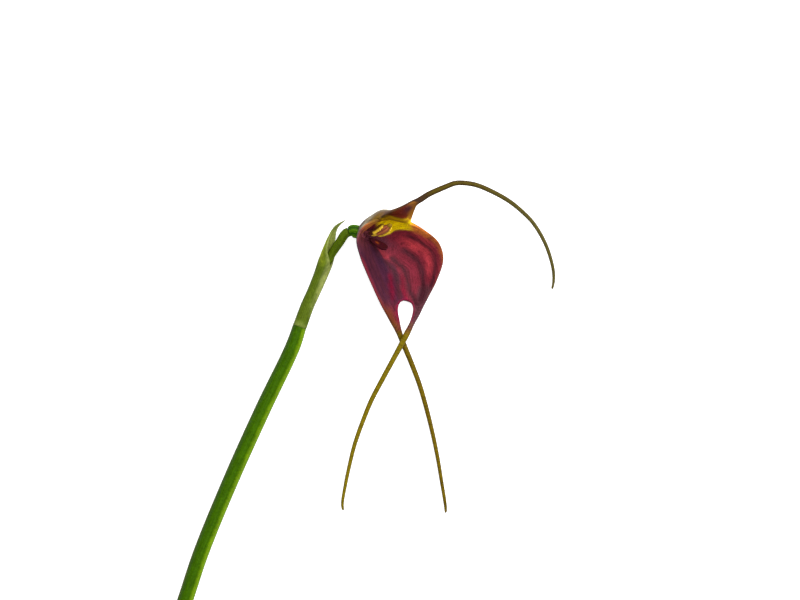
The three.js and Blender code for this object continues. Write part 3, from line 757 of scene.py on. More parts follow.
def far_lobe_marks(points, tail):
    """Marks of the far lateral sepal, where tail is 0 on its blade and 1 on its tail."""
    x, y = points[..., 0], points[..., 1]
    margin = np.abs(off_line(points, FAR_MARGIN))
    throat = smooth(-0.12, 0.22, off_line(points, THROAT_LINE) + 0.06 * ripple(points, 0.9, 2.0))
    # Painted highlight: spots of rose where the far lobe catches the most light.
    rose = 0.6 * near_spot(points, (4.8, 6.5), 0.8, 2.5, 6) + near_spot(points, (2.3, 9.15), 2.3, 0.95, -30)
    rose = rose + 0.5 * near_spot(points, (-2.7, 7.6), 1.1, 0.5, -50)
    rose = rose + 0.8 * near_spot(points, (3.7, 10.4), 2.4, 0.65, -38)
    vein = 0.9 * near_line(points, OUTER_VEIN, 0.32) * smooth(0.2, 1.8, x)
    vein = vein + near_line(points, MIDDLE_VEIN, 0.56) + near_line(points, INNER_VEIN, 0.48)
    vein = vein + near_line(points, FOLD_VEIN, 0.38)
    # Painted shade deep in the throat and at the bottom of the tube.
    dark = near_spot(points, (-3.4, 9.9), 1.35, 1.1) + 0.5 * near_spot(points, (-1.7, 9.2), 1.5, 0.8, -20)
    dark = dark + smooth(-3.6, -4.8, x) * smooth(8.6, 9.8, y) * smooth(12.3, 11.7, y)
    high_margin = margin * (0.8 + 0.12 * np.maximum(0, 11 - y))
    return {
        "vein": vein * (1 - tail),
        "violet": near_line(points, FOLD_LINE, 0.6) * smooth(0.8, 3.4, y) * smooth(7.4, 5.6, y),
        "rose": np.clip(rose, 0, 1) * smooth(12.0, 11.2, y),
        "stripe": 0.9 * near_line(points, FAR_STRIPE, 0.4),
        "gold": throat * smooth(-3.9, -2.7, x + 0.5 * smooth(11.6, 12.2, y)) * smooth(3.1, 1.9, x),
        "amber": 0.8 * smooth(1.3, 0.15, high_margin) * smooth(4.5, 8.5, y),
        "sienna": smooth(1.5, 0.4, margin) * smooth(9.6, 11.6, y) * smooth(0.8, 2.4, x),
        "rust": 0.5 * smooth(0.35, 0.1, margin) * smooth(-1.0, 4.0, y),
        "dark": dark,
        "dusk": smooth(-0.3, 0.7, x - 2.2 - 0.35 * y) * smooth(3.4, 1.6, y) * (1 - tail),
        "olive": tail,
    }


def lateral_marks(points, inside, near):
    """Marks of a lateral sepal's inner or outer face."""
    x, y, z = points[..., 0], points[..., 1], points[..., 2]
    tail = smooth(-3.2, -6.6, y + 0.35 * ripple(points, 2.4, 1.0))
    marks = dict.fromkeys(SYNSEPAL_LAYERS, np.zeros_like(x))
    marks |= near_lobe_marks(points, tail) if near else far_lobe_marks(points, tail)
    marks["cerise"] = near_line(points, GAP_RIM, 0.26) * smooth(-5.0, -2.6, y) * smooth(1.6, 0.6, y)
    if not inside:
        marks |= {name: share * marks[name] for name, share in OUTER_SHARES.items()}
        marks["outside"] = np.ones_like(x)
    if near and not inside:
        marks["dome"] = smooth(3.6, 7.0, z) * smooth(9.6, 12.2, y)
        # Painted highlight along the dome's outline.
        rim = 0.85 * near_line(points, DOME_RIM, 0.25) * smooth(4.4, 7.2, z) * smooth(10.9, 12.7, y)
        marks["pale"] = marks["dome"] * rim
    marks = {name: np.clip(value, 0, 1) for name, value in marks.items()}
    flow = off_line(points, NEAR_MARGIN if near else MIDDLE_VEIN)
    return {**marks, "along": 0.7 * (x - y), "round_x": flow, "round_y": np.zeros_like(x)}


def dorsal_marks(points, inside):
    """Marks of the dorsal sepal's inner or outer face."""
    x, y, z = points[..., 0], points[..., 1], points[..., 2]
    outside = 1.0 - inside
    off = off_line(points, PATCH_LINE)
    patch = smooth(-0.4, 0.25, off + 0.06 * ripple(points, 0.9, 4.0))
    patch = patch * (1 - outside) * smooth(-3.4, -2.2, x)
    amber = 0.75 * np.exp(-(((off + 0.38) / 0.22) ** 2)) + smooth(0.8, 1.7, x) * smooth(13.3, 13.9, y)
    amber = amber + 0.7 * smooth(-2.9, -3.7, x)
    tail = smooth(2.9, 5.4, x)
    core = near_line(points, DORSAL_CORE, 0.2) * smooth(3.4, 5.5, x)
    edge = np.abs(off_line(points, DORSAL_MARGIN))
    # Painted highlight along the dome's outline.
    rim = 0.85 * near_line(points, DOME_RIM, 0.25) * smooth(-0.6, -2.4, x) * smooth(4.4, 7.2, z)
    marks = {
        "patch": patch,
        "dark": near_spot(points, (1.3, 15.1), 1.1, 0.55, 35) * patch,
        "amber": amber * (1 - outside),
        "sepia": 0.9 * smooth(0.36, 0.06, edge) * smooth(-4.2, -2.6, x) + smooth(1.9, 3.2, x),
        "umber": tail * (0.35 + 0.65 * core),
        "shade": near_spot(points, (0.35, 12.5), 1.7, 0.55, -15) * (1 - outside),
        "outside": np.full_like(x, outside),
        "pale": rim * outside,
        "mauve": smooth(-0.6, -2.0, x) * outside,
        "gold": near_spot(points, (-4.1, 13.5), 1.5, 0.7, 38) * outside * smooth(4.0, 6.0, z),
        "tail": smooth(9.0, 22.0, x),
    }
    return {name: np.clip(value, 0, 1) for name, value in marks.items()}


# ---------------------------------------------------------------- the calyx
FAR, NEAR = 1, -1
ROWS_PER_STATION = 8
SEPAL_COLUMNS = 26
TAIL_TAPER = [1.0, 0.79, 0.67, 0.51, 0.33, 0.0]
TAIL_TIP_STATIONS = 0.4  # how far before its end a tail starts to round off
VEIN_DEPTH = 0.03
FREE_STATIONS = 1.2  # how far beyond the notch an edge becomes free
KEEL_BLEND = 0.3  # how far from the keel the two lobes' markings run into each other
PAPILLA_SWELL = 0.02
PAPILLA_SIZE = 0.8


def sizes():
    return bpy.context.scene.flower_sizes


def ring_point(degrees):
    angle = math.radians(degrees)
    spoke = RING_DORSAL * math.cos(angle) + RING_NEAR * math.sin(angle)
    return RING_CENTRE + spoke * (sizes().ring_radius / MM)


class Tail:
    """The middle, the two edges and the width of a tail at its stations."""

    def __init__(self, line):
        self.centre = np.array(line)
        ahead = np.concatenate([self.centre[1:], self.centre[-1:]])
        behind = np.concatenate([self.centre[:1], self.centre[:-1]])
        shares = np.linspace(0, 1, len(line))
        self.width = blend(sizes().tail_tip_width, sizes().tail_width, spread(TAIL_TAPER, shares)) / MM
        out = unit(np.cross(ahead - behind, UP)) * self.width[:, None] / 2
        self.left = self.centre - out
        self.right = self.centre + out


def sepal_blocks(rows, tail, blade, round_from, side, marks_at, relief_at, joined=0):
    """A sepal with its tail. rows(station) gives a row's two edges, its middle, the two directions there and
    how far each edge is free. The blade ends at the station blade. side is 1 or -1, whichever turns the inner
    face into the calyx."""
    s = crowded_shares(SEPAL_COLUMNS)
    last = blade + len(tail.centre)
    middle, ways, wall = [], [], []
    for i in range(last * ROWS_PER_STATION + 1):
        station = i / ROWS_PER_STATION
        a, m, b, start, end, first_free, last_free = rows(station)
        roundness = float(smooth(round_from, blade + 1, station))
        width = np.interp(station - blade - 1, np.arange(len(tail.width)), tail.width)
        beyond = max(0.0, (station - last + TAIL_TIP_STATIONS) / TAIL_TIP_STATIONS)
        tip = math.sqrt(max(0.0, 1 - beyond * beyond))
        a, b = m + (a - m) * tip, m + (b - m) * tip
        points, way = across_row(a, m, b, s, start, end)
        middle.append(points)
        ways.append(way)
        thickness = blend(sizes().sepal_wall / MM, width, roundness) * tip
        wall.append(thickness * edge_fall(s, roundness, first_free, last_free))
    return sheet_blocks(
        np.array(middle), np.array(ways), np.array(wall), side, marks_at, relief_at, joined * ROWS_PER_STATION
    )


def ridge_at():
    return rail([ring_point(0), *DORSAL_RIDGE, *DORSAL_TAIL])


def lateral_blocks(side):
    """One lateral sepal, on the side FAR or NEAR."""
    far = side == FAR
    edge, middle = (FAR_EDGE, FAR_MIDDLE) if far else (NEAR_EDGE, NEAR_MIDDLE)
    inner_edge, tail = (FAR_INNER, Tail(FAR_TAIL)) if far else (NEAR_INNER, Tail(NEAR_TAIL))
    outward, inward = (tail.left, tail.right) if far else (tail.right, tail.left)
    other_inner = (NEAR_INNER if far else FAR_INNER)[0]
    keel = [ring_point(KEEL_ANGLE), *KEEL]
    keel_at = rail(keel)
    lobe_at = rail([other_inner, keel[SINUS], *inner_edge, *inward])
    middle_at = rail([ring_point(-side * MIDDLE_ANGLE), *middle, *tail.centre])
    other_at = rail([ring_point(side * MIDDLE_ANGLE), *(NEAR_MIDDLE if far else FAR_MIDDLE)])
    seam_at = rail([ring_point(-side * SEAM_ANGLE), *edge[:NOTCH]])
    margin_at = rail([*edge[NOTCH - 1 :], *outward])
    roof_at = ridge_at()

    def rows(station):
        a = keel_at(station) if station <= SINUS else lobe_at(station - SINUS + 1)
        b = seam_at(station) if station <= NOTCH else margin_at(station - NOTCH)
        m = middle_at(station)
        first_free = float(smooth(SINUS, SINUS + 2, station))
        last_free = float(smooth(NOTCH, NOTCH + FREE_STATIONS, station))
        fold = middle_at(min(station, SINUS)) - other_at(min(station, SINUS))
        roof = roof_at(min(station, NOTCH)) - middle_at(min(station, NOTCH))
        start = blend(fold, 4 * m - 3 * a - b, first_free)
        end = blend(roof, 3 * b + a - 4 * m, last_free)
        return a, m, b, start, end, first_free, last_free

    def marks_at(points, inside):
        own = lateral_marks(points, inside, not far)
        other = lateral_marks(points, inside, far)
        shared = 0.5 * smooth(KEEL_BLEND, 0.0, np.abs(off_line(points, KEEL_LINE)))
        return {name: blend(own[name], other[name], shared) for name in own}

    def relief_at(points):
        marks = marks_at(points, True)
        return PAPILLA_SWELL * ripple(points, PAPILLA_SIZE, 5.0) - VEIN_DEPTH * marks["vein"]

    return sepal_blocks(rows, tail, BLADE_END, SINUS + 1, side, marks_at, relief_at, SINUS)


def dorsal_blocks():
    tail = Tail(DORSAL_TAIL)
    near_seam = rail([ring_point(SEAM_ANGLE), *NEAR_EDGE[:NOTCH]])
    far_seam = rail([ring_point(-SEAM_ANGLE), *FAR_EDGE[:NOTCH]])
    near_margin = rail([NEAR_EDGE[NOTCH - 1], *DORSAL_NEAR, *tail.left])
    far_margin = rail([FAR_EDGE[NOTCH - 1], *DORSAL_FAR, *tail.right])
    near_middle = rail([ring_point(MIDDLE_ANGLE), *NEAR_MIDDLE])
    far_middle = rail([ring_point(-MIDDLE_ANGLE), *FAR_MIDDLE])
    roof_at = ridge_at()
    blade = NOTCH + len(DORSAL_NEAR)

    def rows(station):
        fused = min(station, NOTCH)
        a = near_seam(station) if station <= NOTCH else near_margin(station - NOTCH)
        b = far_seam(station) if station <= NOTCH else far_margin(station - NOTCH)
        m = roof_at(station)
        free = float(smooth(NOTCH, NOTCH + FREE_STATIONS, station))
        start = blend(roof_at(fused) - near_middle(fused), 4 * m - 3 * a - b, free)
        end = blend(far_middle(fused) - roof_at(fused), 3 * b + a - 4 * m, free)
        return a, m, b, start, end, free, free

    def relief_at(points):
        return PAPILLA_SWELL * ripple(points, PAPILLA_SIZE, 6.0)

    return sepal_blocks(rows, tail, blade, blade - 1, -1, dorsal_marks, relief_at)


# ---------------------------------------------------------------- the bract and the small blades
BRACT_ROWS, BRACT_COLUMNS = 80, 64
BRACT_RIBS = 22
BRACT_RIB_HEIGHT = 0.02
BRACT_LEAST_RADIUS = 0.05
BRACT_TIP = 0.03  # the share of its length that rounds off
BRACT_THINNING = 0.5  # how much thinner its tip is
BRACT_ROUNDNESS = 0.4  # of its edges
BLADE_ROWS, BLADE_COLUMNS = 44, 22
BLADE_END_POWER = 9  # how square the ends of a small blade are
BLADE_ROUNDNESS = 0.3  # of its edges
WART_SIZE = 0.34
PETAL_CUPPING = 0.1
PETAL_TEETH = 0.14  # how ragged its edge is, as a share of its half width
LIP_CUPPING = 0.2
LIP_WARTS = 0.06
PETAL_SHAPE = [0.5, 1.0, 1.1, 1.0, 0.5]
LIP_HALF_WIDTHS = [0.3, 0.55, 0.75, 0.7, 0.35]


def bract_blocks():
    wall = sizes().bract_wall / MM
    centres, ways = along_rail(BRACT_LINE, BRACT_ROWS)
    share = np.linspace(0, 1, BRACT_ROWS + 1)
    side = unit(np.cross(ways, BRACT_BACK))
    out = np.cross(side, ways)
    radius = np.maximum(BRACT_LEAST_RADIUS, spread(BRACT_RADII, share) - wall / 2)
    wrap = np.radians(np.minimum(BRACT_WRAP[0], spread(BRACT_WRAP, share)))
    s = crowded_shares(BRACT_COLUMNS)
    angle = wrap[:, None] * (2 * s - 1)
    spoke = out[:, None] * np.cos(angle)[..., None] + side[:, None] * np.sin(angle)[..., None]
    way = side[:, None] * np.cos(angle)[..., None] - out[:, None] * np.sin(angle)[..., None]
    ribs = BRACT_RIB_HEIGHT * np.cos(BRACT_RIBS * angle) * smooth(1.0, 0.8, share)[:, None]
    middle = centres[:, None] + spoke * (radius[:, None] + ribs)[..., None]
    beyond = np.maximum(0, (share - 1 + BRACT_TIP) / BRACT_TIP)
    ends = (1 - BRACT_THINNING * share**6) * np.sqrt(np.maximum(0, 1 - beyond**2))
    walls = wall * ends[:, None] * edge_fall(s, BRACT_ROUNDNESS, 1.0, 1.0)

    def marks_at(points, inside):
        reach = np.repeat(share[:, None], BRACT_COLUMNS + 1, axis=1)
        edge = np.repeat(np.abs(2 * s - 1)[None, :], BRACT_ROWS + 1, axis=0)
        pale = 0.6 * smooth(0.72, 0.95, edge) * smooth(0.04, 0.3, reach) + 0.7 * inside
        return {
            "rib": 0.5 + 0.5 * np.cos(BRACT_RIBS * angle),
            "pale": np.clip(pale, 0, 1),
            "band": 0.6 * near_line(points, BRACT_BAND, 0.3),
            "foot": 0.2 * smooth(0.045, 0.0, reach),
            "tip": 0.8 * smooth(0.8, 0.97, reach),
            "lemon": smooth(0.42, 0.6, reach) * smooth(0.92, 0.8, reach) * smooth(0.95, 0.4, edge),
            "faded": near_spot(points, (-12.6, 4.6), 1.9, 0.36, 66),
        }

    return sheet_blocks(middle, way, walls, 1, marks_at)


def blade_blocks(line, across, half_widths, wall, cupping, teeth=0.0, warts=0.0):
    """A small blade along a line: a petal or the lip. teeth makes its edges ragged and warts its face."""
    centres, ways = along_rail(line, BLADE_ROWS)
    share = np.linspace(0, 1, BLADE_ROWS + 1)
    direction = unit(across - ways * (ways @ across)[:, None])
    up = np.cross(direction, ways)
    s = crowded_shares(BLADE_COLUMNS)
    offset = 2 * s - 1
    ends = np.sqrt(np.maximum(0, 1 - np.abs(2 * share - 1) ** BLADE_END_POWER))
    ragged = 1 + teeth * smooth(0.4, 0.9, share) * (np.sin(share * 47) + 0.6 * np.sin(share * 83 + 1))
    half = (spread(half_widths, share) * ends * ragged)[:, None]
    middle = centres[:, None] + direction[:, None] * (half * offset)[..., None]
    middle = middle + up[:, None] * (cupping * half * offset**2)[..., None]
    walls = wall * ends[:, None] * edge_fall(s, BLADE_ROUNDNESS, 1.0, 1.0)
    way = np.repeat(direction[:, None], BLADE_COLUMNS + 1, axis=1)

    def marks_at(points, inside):
        reach = np.repeat(share[:, None], BLADE_COLUMNS + 1, axis=1)
        edge = np.repeat(np.abs(offset)[None, :], BLADE_ROWS + 1, axis=0)
        return {
            "callus": smooth(0.5, 0.1, edge) * smooth(0.22, 0.34, reach) * smooth(0.5, 0.36, reach),
            "core": smooth(0.7, 0.2, edge),
            "tip": smooth(0.35, 0.9, reach),
            "fringe": smooth(0.05, -0.35, offset) * smooth(0.24, 0.32, reach) * smooth(1.0, 0.85, reach),
        }

    def relief_at(points):
        return warts * np.maximum(0, ripple(points, WART_SIZE, 7.0))

    return sheet_blocks(middle, way, walls, 1, marks_at, relief_at)


# ---------------------------------------------------------------- the stalks
STEM_STEPS, STEM_SIDES = 240, 78
STEM_RIDGES, STEM_RIDGE = 3, 0.07  # their number and their height as a share of the radius
STEM_FIBRES, STEM_FIBRE = 26, 0.007
PEDICEL_STEPS, PEDICEL_SIDES = 60, 64
PEDICEL_RIDGES, PEDICEL_RIDGE, PEDICEL_TWIST = 9, 0.03, 4
PEDICEL_RADII = [0.65, 0.65, 0.84, 0.98, 1.02, 1.06, 1.07, 1.07]
OVARY_RADII = [0.68, 0.9, 0.98, 0.9, 0.94]
OVARY_STEPS, OVARY_SIDES = 72, 120
OVARY_RIBS = 6
OVARY_GROOVE, OVARY_FINE_GROOVE = 0.1, 0.02
OVARY_TWIST = 1.2  # radians of a rib's wave
COLUMN_RADII = [0.6, 0.82, 0.96, 1.0, 0.68]
COLUMN_STEPS, COLUMN_SIDES = 48, 40
COLUMN_WINGS = 0.14
RIGHT = np.array((1.0, 0.0, 0.0))
CAP_ROWS, CAP_COLUMNS = 25, 40
CAP_SHAPE = np.array((1.0, 0.85, 0.8))
CAP_FURROW = 0.12


def fibre_marks(share, angle):
    """Marks that the fibres of every stalk follow."""
    return {"along": share, "round_x": np.cos(angle), "round_y": np.sin(angle)}


def green_marks(share, angle, out):
    """Marks of the green stalks, seen from above: painted light on the right flank and a painted sheen, a
    pale reflection, on the left one.
    """
    flank = out @ RIGHT
    # Painted light on the flank facing +X, painted sheen on the flank facing -X.
    flanks = {"lime": smooth(0.3, 0.85, flank), "bloom": 0.6 * smooth(-0.8, -0.97, flank)}
    return {**fibre_marks(share, angle), **flanks}


def stem_block():
    radius, top = sizes().stem_radius / MM, sizes().stem_top_radius / MM
    heights = [radius] * (len(STEM_LINE) - 1) + [top]
    line = [(x, y, height * (1 - STEM_RIDGE)) for (x, y), height in zip(STEM_LINE, heights)]

    def radius_at(share, angle):
        fibres = STEM_FIBRE * (1 - np.cos(STEM_FIBRES * angle))
        ridges = 1 + STEM_RIDGE * np.cos(STEM_RIDGES * angle) - fibres
        return spread([radius] * 4 + [top], share) * ridges

    return stalk(line, STEM_STEPS, STEM_SIDES, radius_at, (CUT_END, FLAT_END), green_marks)


def pedicel_block():
    radius = sizes().pedicel_radius / MM

    def radius_at(share, angle):
        ridges = 1 - PEDICEL_RIDGE * (1 - np.cos(PEDICEL_RIDGES * angle + PEDICEL_TWIST * share))
        return radius * spread(PEDICEL_RADII, share) * ridges

    ends = (FLAT_END, FLAT_END)
    return stalk(PEDICEL_LINE, PEDICEL_STEPS, PEDICEL_SIDES, radius_at, ends, green_marks)


def ovary_block():
    radius = sizes().ovary_radius / MM

    def radius_at(share, angle):
        wave = OVARY_RIBS * angle + OVARY_TWIST * share
        grooves = 1 - OVARY_GROOVE * (0.5 - 0.5 * np.cos(wave)) - OVARY_FINE_GROOVE * (1 - np.cos(3 * wave))
        return radius * spread(OVARY_RADII, share) * grooves

    def marks_at(share, angle, out):
        rib = 0.5 + 0.5 * np.cos(OVARY_RIBS * angle + OVARY_TWIST * share)
        # The ovary's end inside the tube is painted in shade.
        return {**fibre_marks(share, angle), "rib": rib, "hidden": smooth(0.84, 0.9, share)}

    return stalk(OVARY_LINE, OVARY_STEPS, OVARY_SIDES, radius_at, (FLAT_END, FLAT_END), marks_at)


def column_block():
    radius = sizes().column_radius / MM

    def radius_at(share, angle):
        wings = 1 - COLUMN_WINGS * np.cos(2 * angle) * smooth(0.3, 0.8, share)
        return radius * spread(COLUMN_RADII, share) * wings

    def marks_at(share, angle, out):
        return {
            **fibre_marks(share, angle),
            "stripe": 0.7 * smooth(0.55, 0.95, np.cos(5 * angle)) * smooth(0.2, 0.5, share),
            "bright_foot": smooth(0.46, 0.4, share),
            # The column's foot deep in the tube is painted in shade.
            "hidden": smooth(0.31, 0.27, share),
        }

    return stalk(COLUMN_LINE, COLUMN_STEPS, COLUMN_SIDES, radius_at, (FLAT_END, ROUND_END), marks_at)


def cap_block():
    """The anther cap: a low cushion with a furrow along its middle."""
    radius = sizes().cap_radius / MM
    lift = np.linspace(-np.pi / 2, np.pi / 2, CAP_ROWS)[:, None]
    turn = (2 * np.pi * np.arange(CAP_COLUMNS) / CAP_COLUMNS)[None, :]
    furrow = 1 - CAP_FURROW * np.exp(-((np.sin(turn) / 0.25) ** 2)) * smooth(0.0, 0.7, lift)
    round_way = (np.cos(lift) * np.cos(turn), np.cos(lift) * np.sin(turn), np.sin(lift))
    spoke = np.stack(np.broadcast_arrays(*round_way), -1) * CAP_SHAPE
    points = np.array(CAP_CENTRE) + spoke * (radius * furrow)[..., None]
    top = np.broadcast_to(smooth(-0.3, 0.9, lift), points.shape[:-1])
    return Block(points, quads(CAP_ROWS, CAP_COLUMNS, wrap=True), {"top": np.ravel(top)})


# ---------------------------------------------------------------- node trees
class Tree:
    """Adds nodes to a node tree and joins them up, from left to right."""

    def __init__(self, tree):
        self.tree = tree
        self.tree.nodes.clear()

    def add(self, kind, inputs=(), **settings):
        node = self.tree.nodes.new(kind)
        node.location = (190 * (len(self.tree.nodes) // 4), -170 * (len(self.tree.nodes) % 4))
        for name, value in settings.items():
            setattr(node, name, value)
        for socket, value in dict(inputs).items():
            self.feed(node.inputs[socket], value)
        return node

    def feed(self, socket, value):
        if isinstance(value, bpy.types.NodeSocket):
            self.tree.links.new(value, socket)
        else:
            socket.default_value = value

    def join(self, output, socket):
        self.tree.links.new(output, socket)

    def group(self, name, inputs):
        return self.add("ShaderNodeGroup", inputs, node_tree=bpy.data.node_groups[name])

    def calculate(self, operation, first, second, third=0.0):
        node = self.add("ShaderNodeMath", {0: first, 1: second, 2: third}, operation=operation)
        return node.outputs[0]

    def mix(self, share, below, above):
        inputs = {0: share, 6: below, 7: above}
        return self.add("ShaderNodeMix", inputs, data_type="RGBA", blend_type="MIX").outputs[2]

    def mark(self, name):
        return self.add("ShaderNodeAttribute", attribute_name=name).outputs["Fac"]


def new_group(name, inputs, outputs):
    """An empty shared effect. inputs and outputs are (name, kind of socket, default value)."""
    group = bpy.data.node_groups.new(name, "ShaderNodeTree")
    for label, kind, value in inputs:
        group.interface.new_socket(name=label, in_out="INPUT", socket_type=kind).default_value = value
    for label, kind in outputs:
        group.interface.new_socket(name=label, in_out="OUTPUT", socket_type=kind)
    tree = Tree(group)
    return tree, tree.add("NodeGroupInput").outputs, tree.add("NodeGroupOutput").inputs


FLOAT, COLOUR = "NodeSocketFloat", "NodeSocketColor"
WHITE = (1.0, 1.0, 1.0, 1.0)
BLACK = (0.0, 0.0, 0.0, 1.0)
MOTTLE_SCALE = 0.16  # of the mottle against the grains
EDGE_BREAK = 8.0  # how strongly speckles break up the edge of a layer
FIBRE_HEIGHT = 2.5  # of the fibres against the grains
FIBRE_TONE = 0.45  # share of the fibres in a skin's mottle
ROUGHNESS_SWING = 0.16
BUMP_STRENGTH = 0.8


def make_papillae_group():
    """Fine grains of the skin's cells: a height, a speckle round 0.5 and a broad mottle round 0.5."""
    tree, inputs, outputs = new_group(
        "Papillae", [("Fineness", FLOAT, 4000.0)], [("Height", FLOAT), ("Speckle", FLOAT), ("Mottle", FLOAT)]
    )
    place_on = tree.add("ShaderNodeTexCoord").outputs["Object"]
    fineness = inputs["Fineness"]
    cells = tree.add("ShaderNodeTexVoronoi", {"Vector": place_on, "Scale": fineness})
    grain = tree.add("ShaderNodeTexNoise", {"Vector": place_on, "Scale": fineness, "Detail": 3.0})
    broad = tree.calculate("MULTIPLY", fineness, MOTTLE_SCALE)
    patches = {"Vector": place_on, "Scale": broad, "Detail": 4.0, "Roughness": 0.6}
    mottle = tree.add("ShaderNodeTexNoise", patches)
    domes = tree.calculate("MULTIPLY_ADD", cells.outputs["Distance"], -0.9, 0.9)
    height = tree.calculate("MULTIPLY_ADD", grain.outputs[0], 0.5, domes)
    tree.join(height, outputs["Height"])
    tree.join(grain.outputs[0], outputs["Speckle"])
    tree.join(mottle.outputs[0], outputs["Mottle"])


def make_fibre_group():
    """Long fibres of a stalk: a height and a mask that run along it."""
    tree, inputs, outputs = new_group(
        "Fibres", [("Count", FLOAT, 6.0), ("Length", FLOAT, 8.0)], [("Height", FLOAT), ("Mask", FLOAT)]
    )
    across = tree.calculate("MULTIPLY", tree.mark("round_x"), inputs["Count"])
    around = tree.calculate("MULTIPLY", tree.mark("round_y"), inputs["Count"])
    along = tree.calculate("MULTIPLY", tree.mark("along"), inputs["Length"])
    vector = tree.add("ShaderNodeCombineXYZ", {0: across, 1: around, 2: along}).outputs[0]
    threads = {"Vector": vector, "Scale": 1.0, "Detail": 5.0, "Roughness": 0.65}
    noise = tree.add("ShaderNodeTexNoise", threads)
    mask = tree.add("ShaderNodeMapRange", {"Value": noise.outputs[0], "From Min": 0.35, "From Max": 0.65})
    tree.join(noise.outputs[0], outputs["Height"])
    tree.join(mask.outputs[0], outputs["Mask"])


def make_layer_group():
    """Lays one colour over another by a mask, whose soft edge breaks up into speckles."""
    inputs = [("Below", COLOUR, WHITE), ("Above", COLOUR, WHITE)]
    inputs += [("Mask", FLOAT, 0.0), ("Speckle", FLOAT, 0.5), ("Grain", FLOAT, 0.5)]
    tree, inputs, outputs = new_group("Skin layer", inputs, [("Color", COLOUR)])
    mask = inputs["Mask"]
    rest = tree.calculate("SUBTRACT", 1.0, mask)
    edge = tree.calculate("MULTIPLY", mask, rest)
    off = tree.calculate("SUBTRACT", inputs["Speckle"], 0.5)
    strength = tree.calculate("MULTIPLY", off, inputs["Grain"])
    swing = tree.calculate("MULTIPLY", edge, strength)
    share = tree.calculate("MULTIPLY_ADD", swing, EDGE_BREAK, mask)
    share_clamped = tree.add("ShaderNodeClamp", {"Value": share}).outputs[0]
    colour = tree.mix(share_clamped, inputs["Below"], inputs["Above"])
    tree.join(colour, outputs["Color"])


def make_tone_group():
    """Makes a colour darker and lighter in patches."""
    inputs = [("Color", COLOUR, WHITE), ("Mottle", FLOAT, 0.5)]
    inputs += [("Speckle", FLOAT, 0.5), ("Amount", FLOAT, 0.5)]
    tree, inputs, outputs = new_group("Tone", inputs, [("Color", COLOUR)])
    both = tree.calculate("ADD", inputs["Mottle"], inputs["Speckle"])
    off = tree.calculate("SUBTRACT", both, 1.0)
    swing = tree.calculate("MULTIPLY", off, inputs["Amount"])
    tone = tree.calculate("ADD", swing, 1.0)
    value = tree.add("ShaderNodeHueSaturation", {"Color": inputs["Color"], "Value": tone})
    tree.join(value.outputs[0], outputs["Color"])


# A finish is its grains for each metre, its roughness and how far the grains stand out, in metres.
WAXY = (3200.0, 0.42, 2.5e-5)
PAPERY = (2600.0, 0.55, 2.5e-5)
GLOSSY = (3600.0, 0.3, 5e-5)
CUP_SATIN = (4600.0, 0.5, 4e-5)
ROOF_SATIN = (4600.0, 0.48, 3e-5)
PETAL_SATIN = (5200.0, 0.45, 2e-5)
COLUMN_SATIN = (5200.0, 0.4, 2e-5)
WARTY = (5200.0, 0.4, 5e-5)


def colour_of(setting):
    return (*getattr(bpy.context.scene.flower_colours, setting), 1.0)


def skin(name, base, layers, finish, fibres=None, tone=0.9, grain=0.6, specular=0.06):
    """A plant skin: colours laid over a base colour by the piece's marks, grains and, on stalks, fibres.

    base is the name of a colour setting, and layers gives one for each mark, in the order in which they
    are laid. fibres are their (count, length). tone is how much the colour varies, grain how speckled the
    layers' edges are and specular how strong the plain gloss is.
    """
    fineness, roughness, depth = finish
    material = bpy.data.materials.new(name)
    material.use_nodes = True
    tree = Tree(material.node_tree)
    papillae = tree.group("Papillae", {"Fineness": fineness}).outputs
    colour = colour_of(base)
    for mark, above in layers.items():
        inputs = {"Below": colour, "Above": colour_of(above), "Mask": tree.mark(mark)}
        inputs |= {"Speckle": papillae["Mottle"], "Grain": grain}
        colour = tree.group("Skin layer", inputs).outputs["Color"]
    height = papillae["Height"]
    mottle = papillae["Mottle"]
    if fibres:
        threads = tree.group("Fibres", {"Count": fibres[0], "Length": fibres[1]}).outputs
        height = tree.calculate("MULTIPLY_ADD", threads["Height"], FIBRE_HEIGHT, height)
        mottle = tree.calculate("MULTIPLY", mottle, 1 - FIBRE_TONE)
        mottle = tree.calculate("MULTIPLY_ADD", threads["Mask"], FIBRE_TONE, mottle)
    inputs = {"Color": colour, "Mottle": mottle, "Speckle": papillae["Speckle"], "Amount": tone}
    colour = tree.group("Tone", inputs).outputs["Color"]
    rough = tree.add("ShaderNodeMapRange", {"Value": papillae["Speckle"]}).outputs[0]
    rough = tree.calculate("MULTIPLY_ADD", rough, ROUGHNESS_SWING, roughness - ROUGHNESS_SWING / 2)
    bump = {"Height": height, "Strength": BUMP_STRENGTH, "Distance": depth}
    normal = tree.add("ShaderNodeBump", bump).outputs[0]
    surface = {"Base Color": colour, "Roughness": rough, "Normal": normal, "Specular IOR Level": specular}
    principled = tree.add("ShaderNodeBsdfPrincipled", surface)
    output = tree.add("ShaderNodeOutputMaterial", {"Surface": principled.outputs[0]})
    output.is_active_output = True
    return material


# ---------------------------------------------------------------- operators, one for each kind of piece
class FLOWER_OT_effects(bpy.types.Operator):
    """Makes the shader effects that the skins share"""

    bl_idname = "flower.effects"
    bl_label = "Shared skin effects"

    def execute(self, context):
        make_papillae_group()
        make_fibre_group()
        make_layer_group()
        make_tone_group()
        return {"FINISHED"}


class FLOWER_OT_stem(bpy.types.Operator):
    """Makes the cut, three-ridged flower stem"""

    bl_idname = "flower.stem"
    bl_label = "Stem"

    def execute(self, context):
        layers = {"lime": "stem_painted_light", "bloom": "stem_painted_sheen", "cut": "stem_cut"}
        waxy = skin("Stem skin", "stem_green", layers, WAXY, fibres=(9.0, 26.0), specular=0.03)
        make_piece("Peduncle", [stem_block()], waxy, "peduncle")
        return {"FINISHED"}


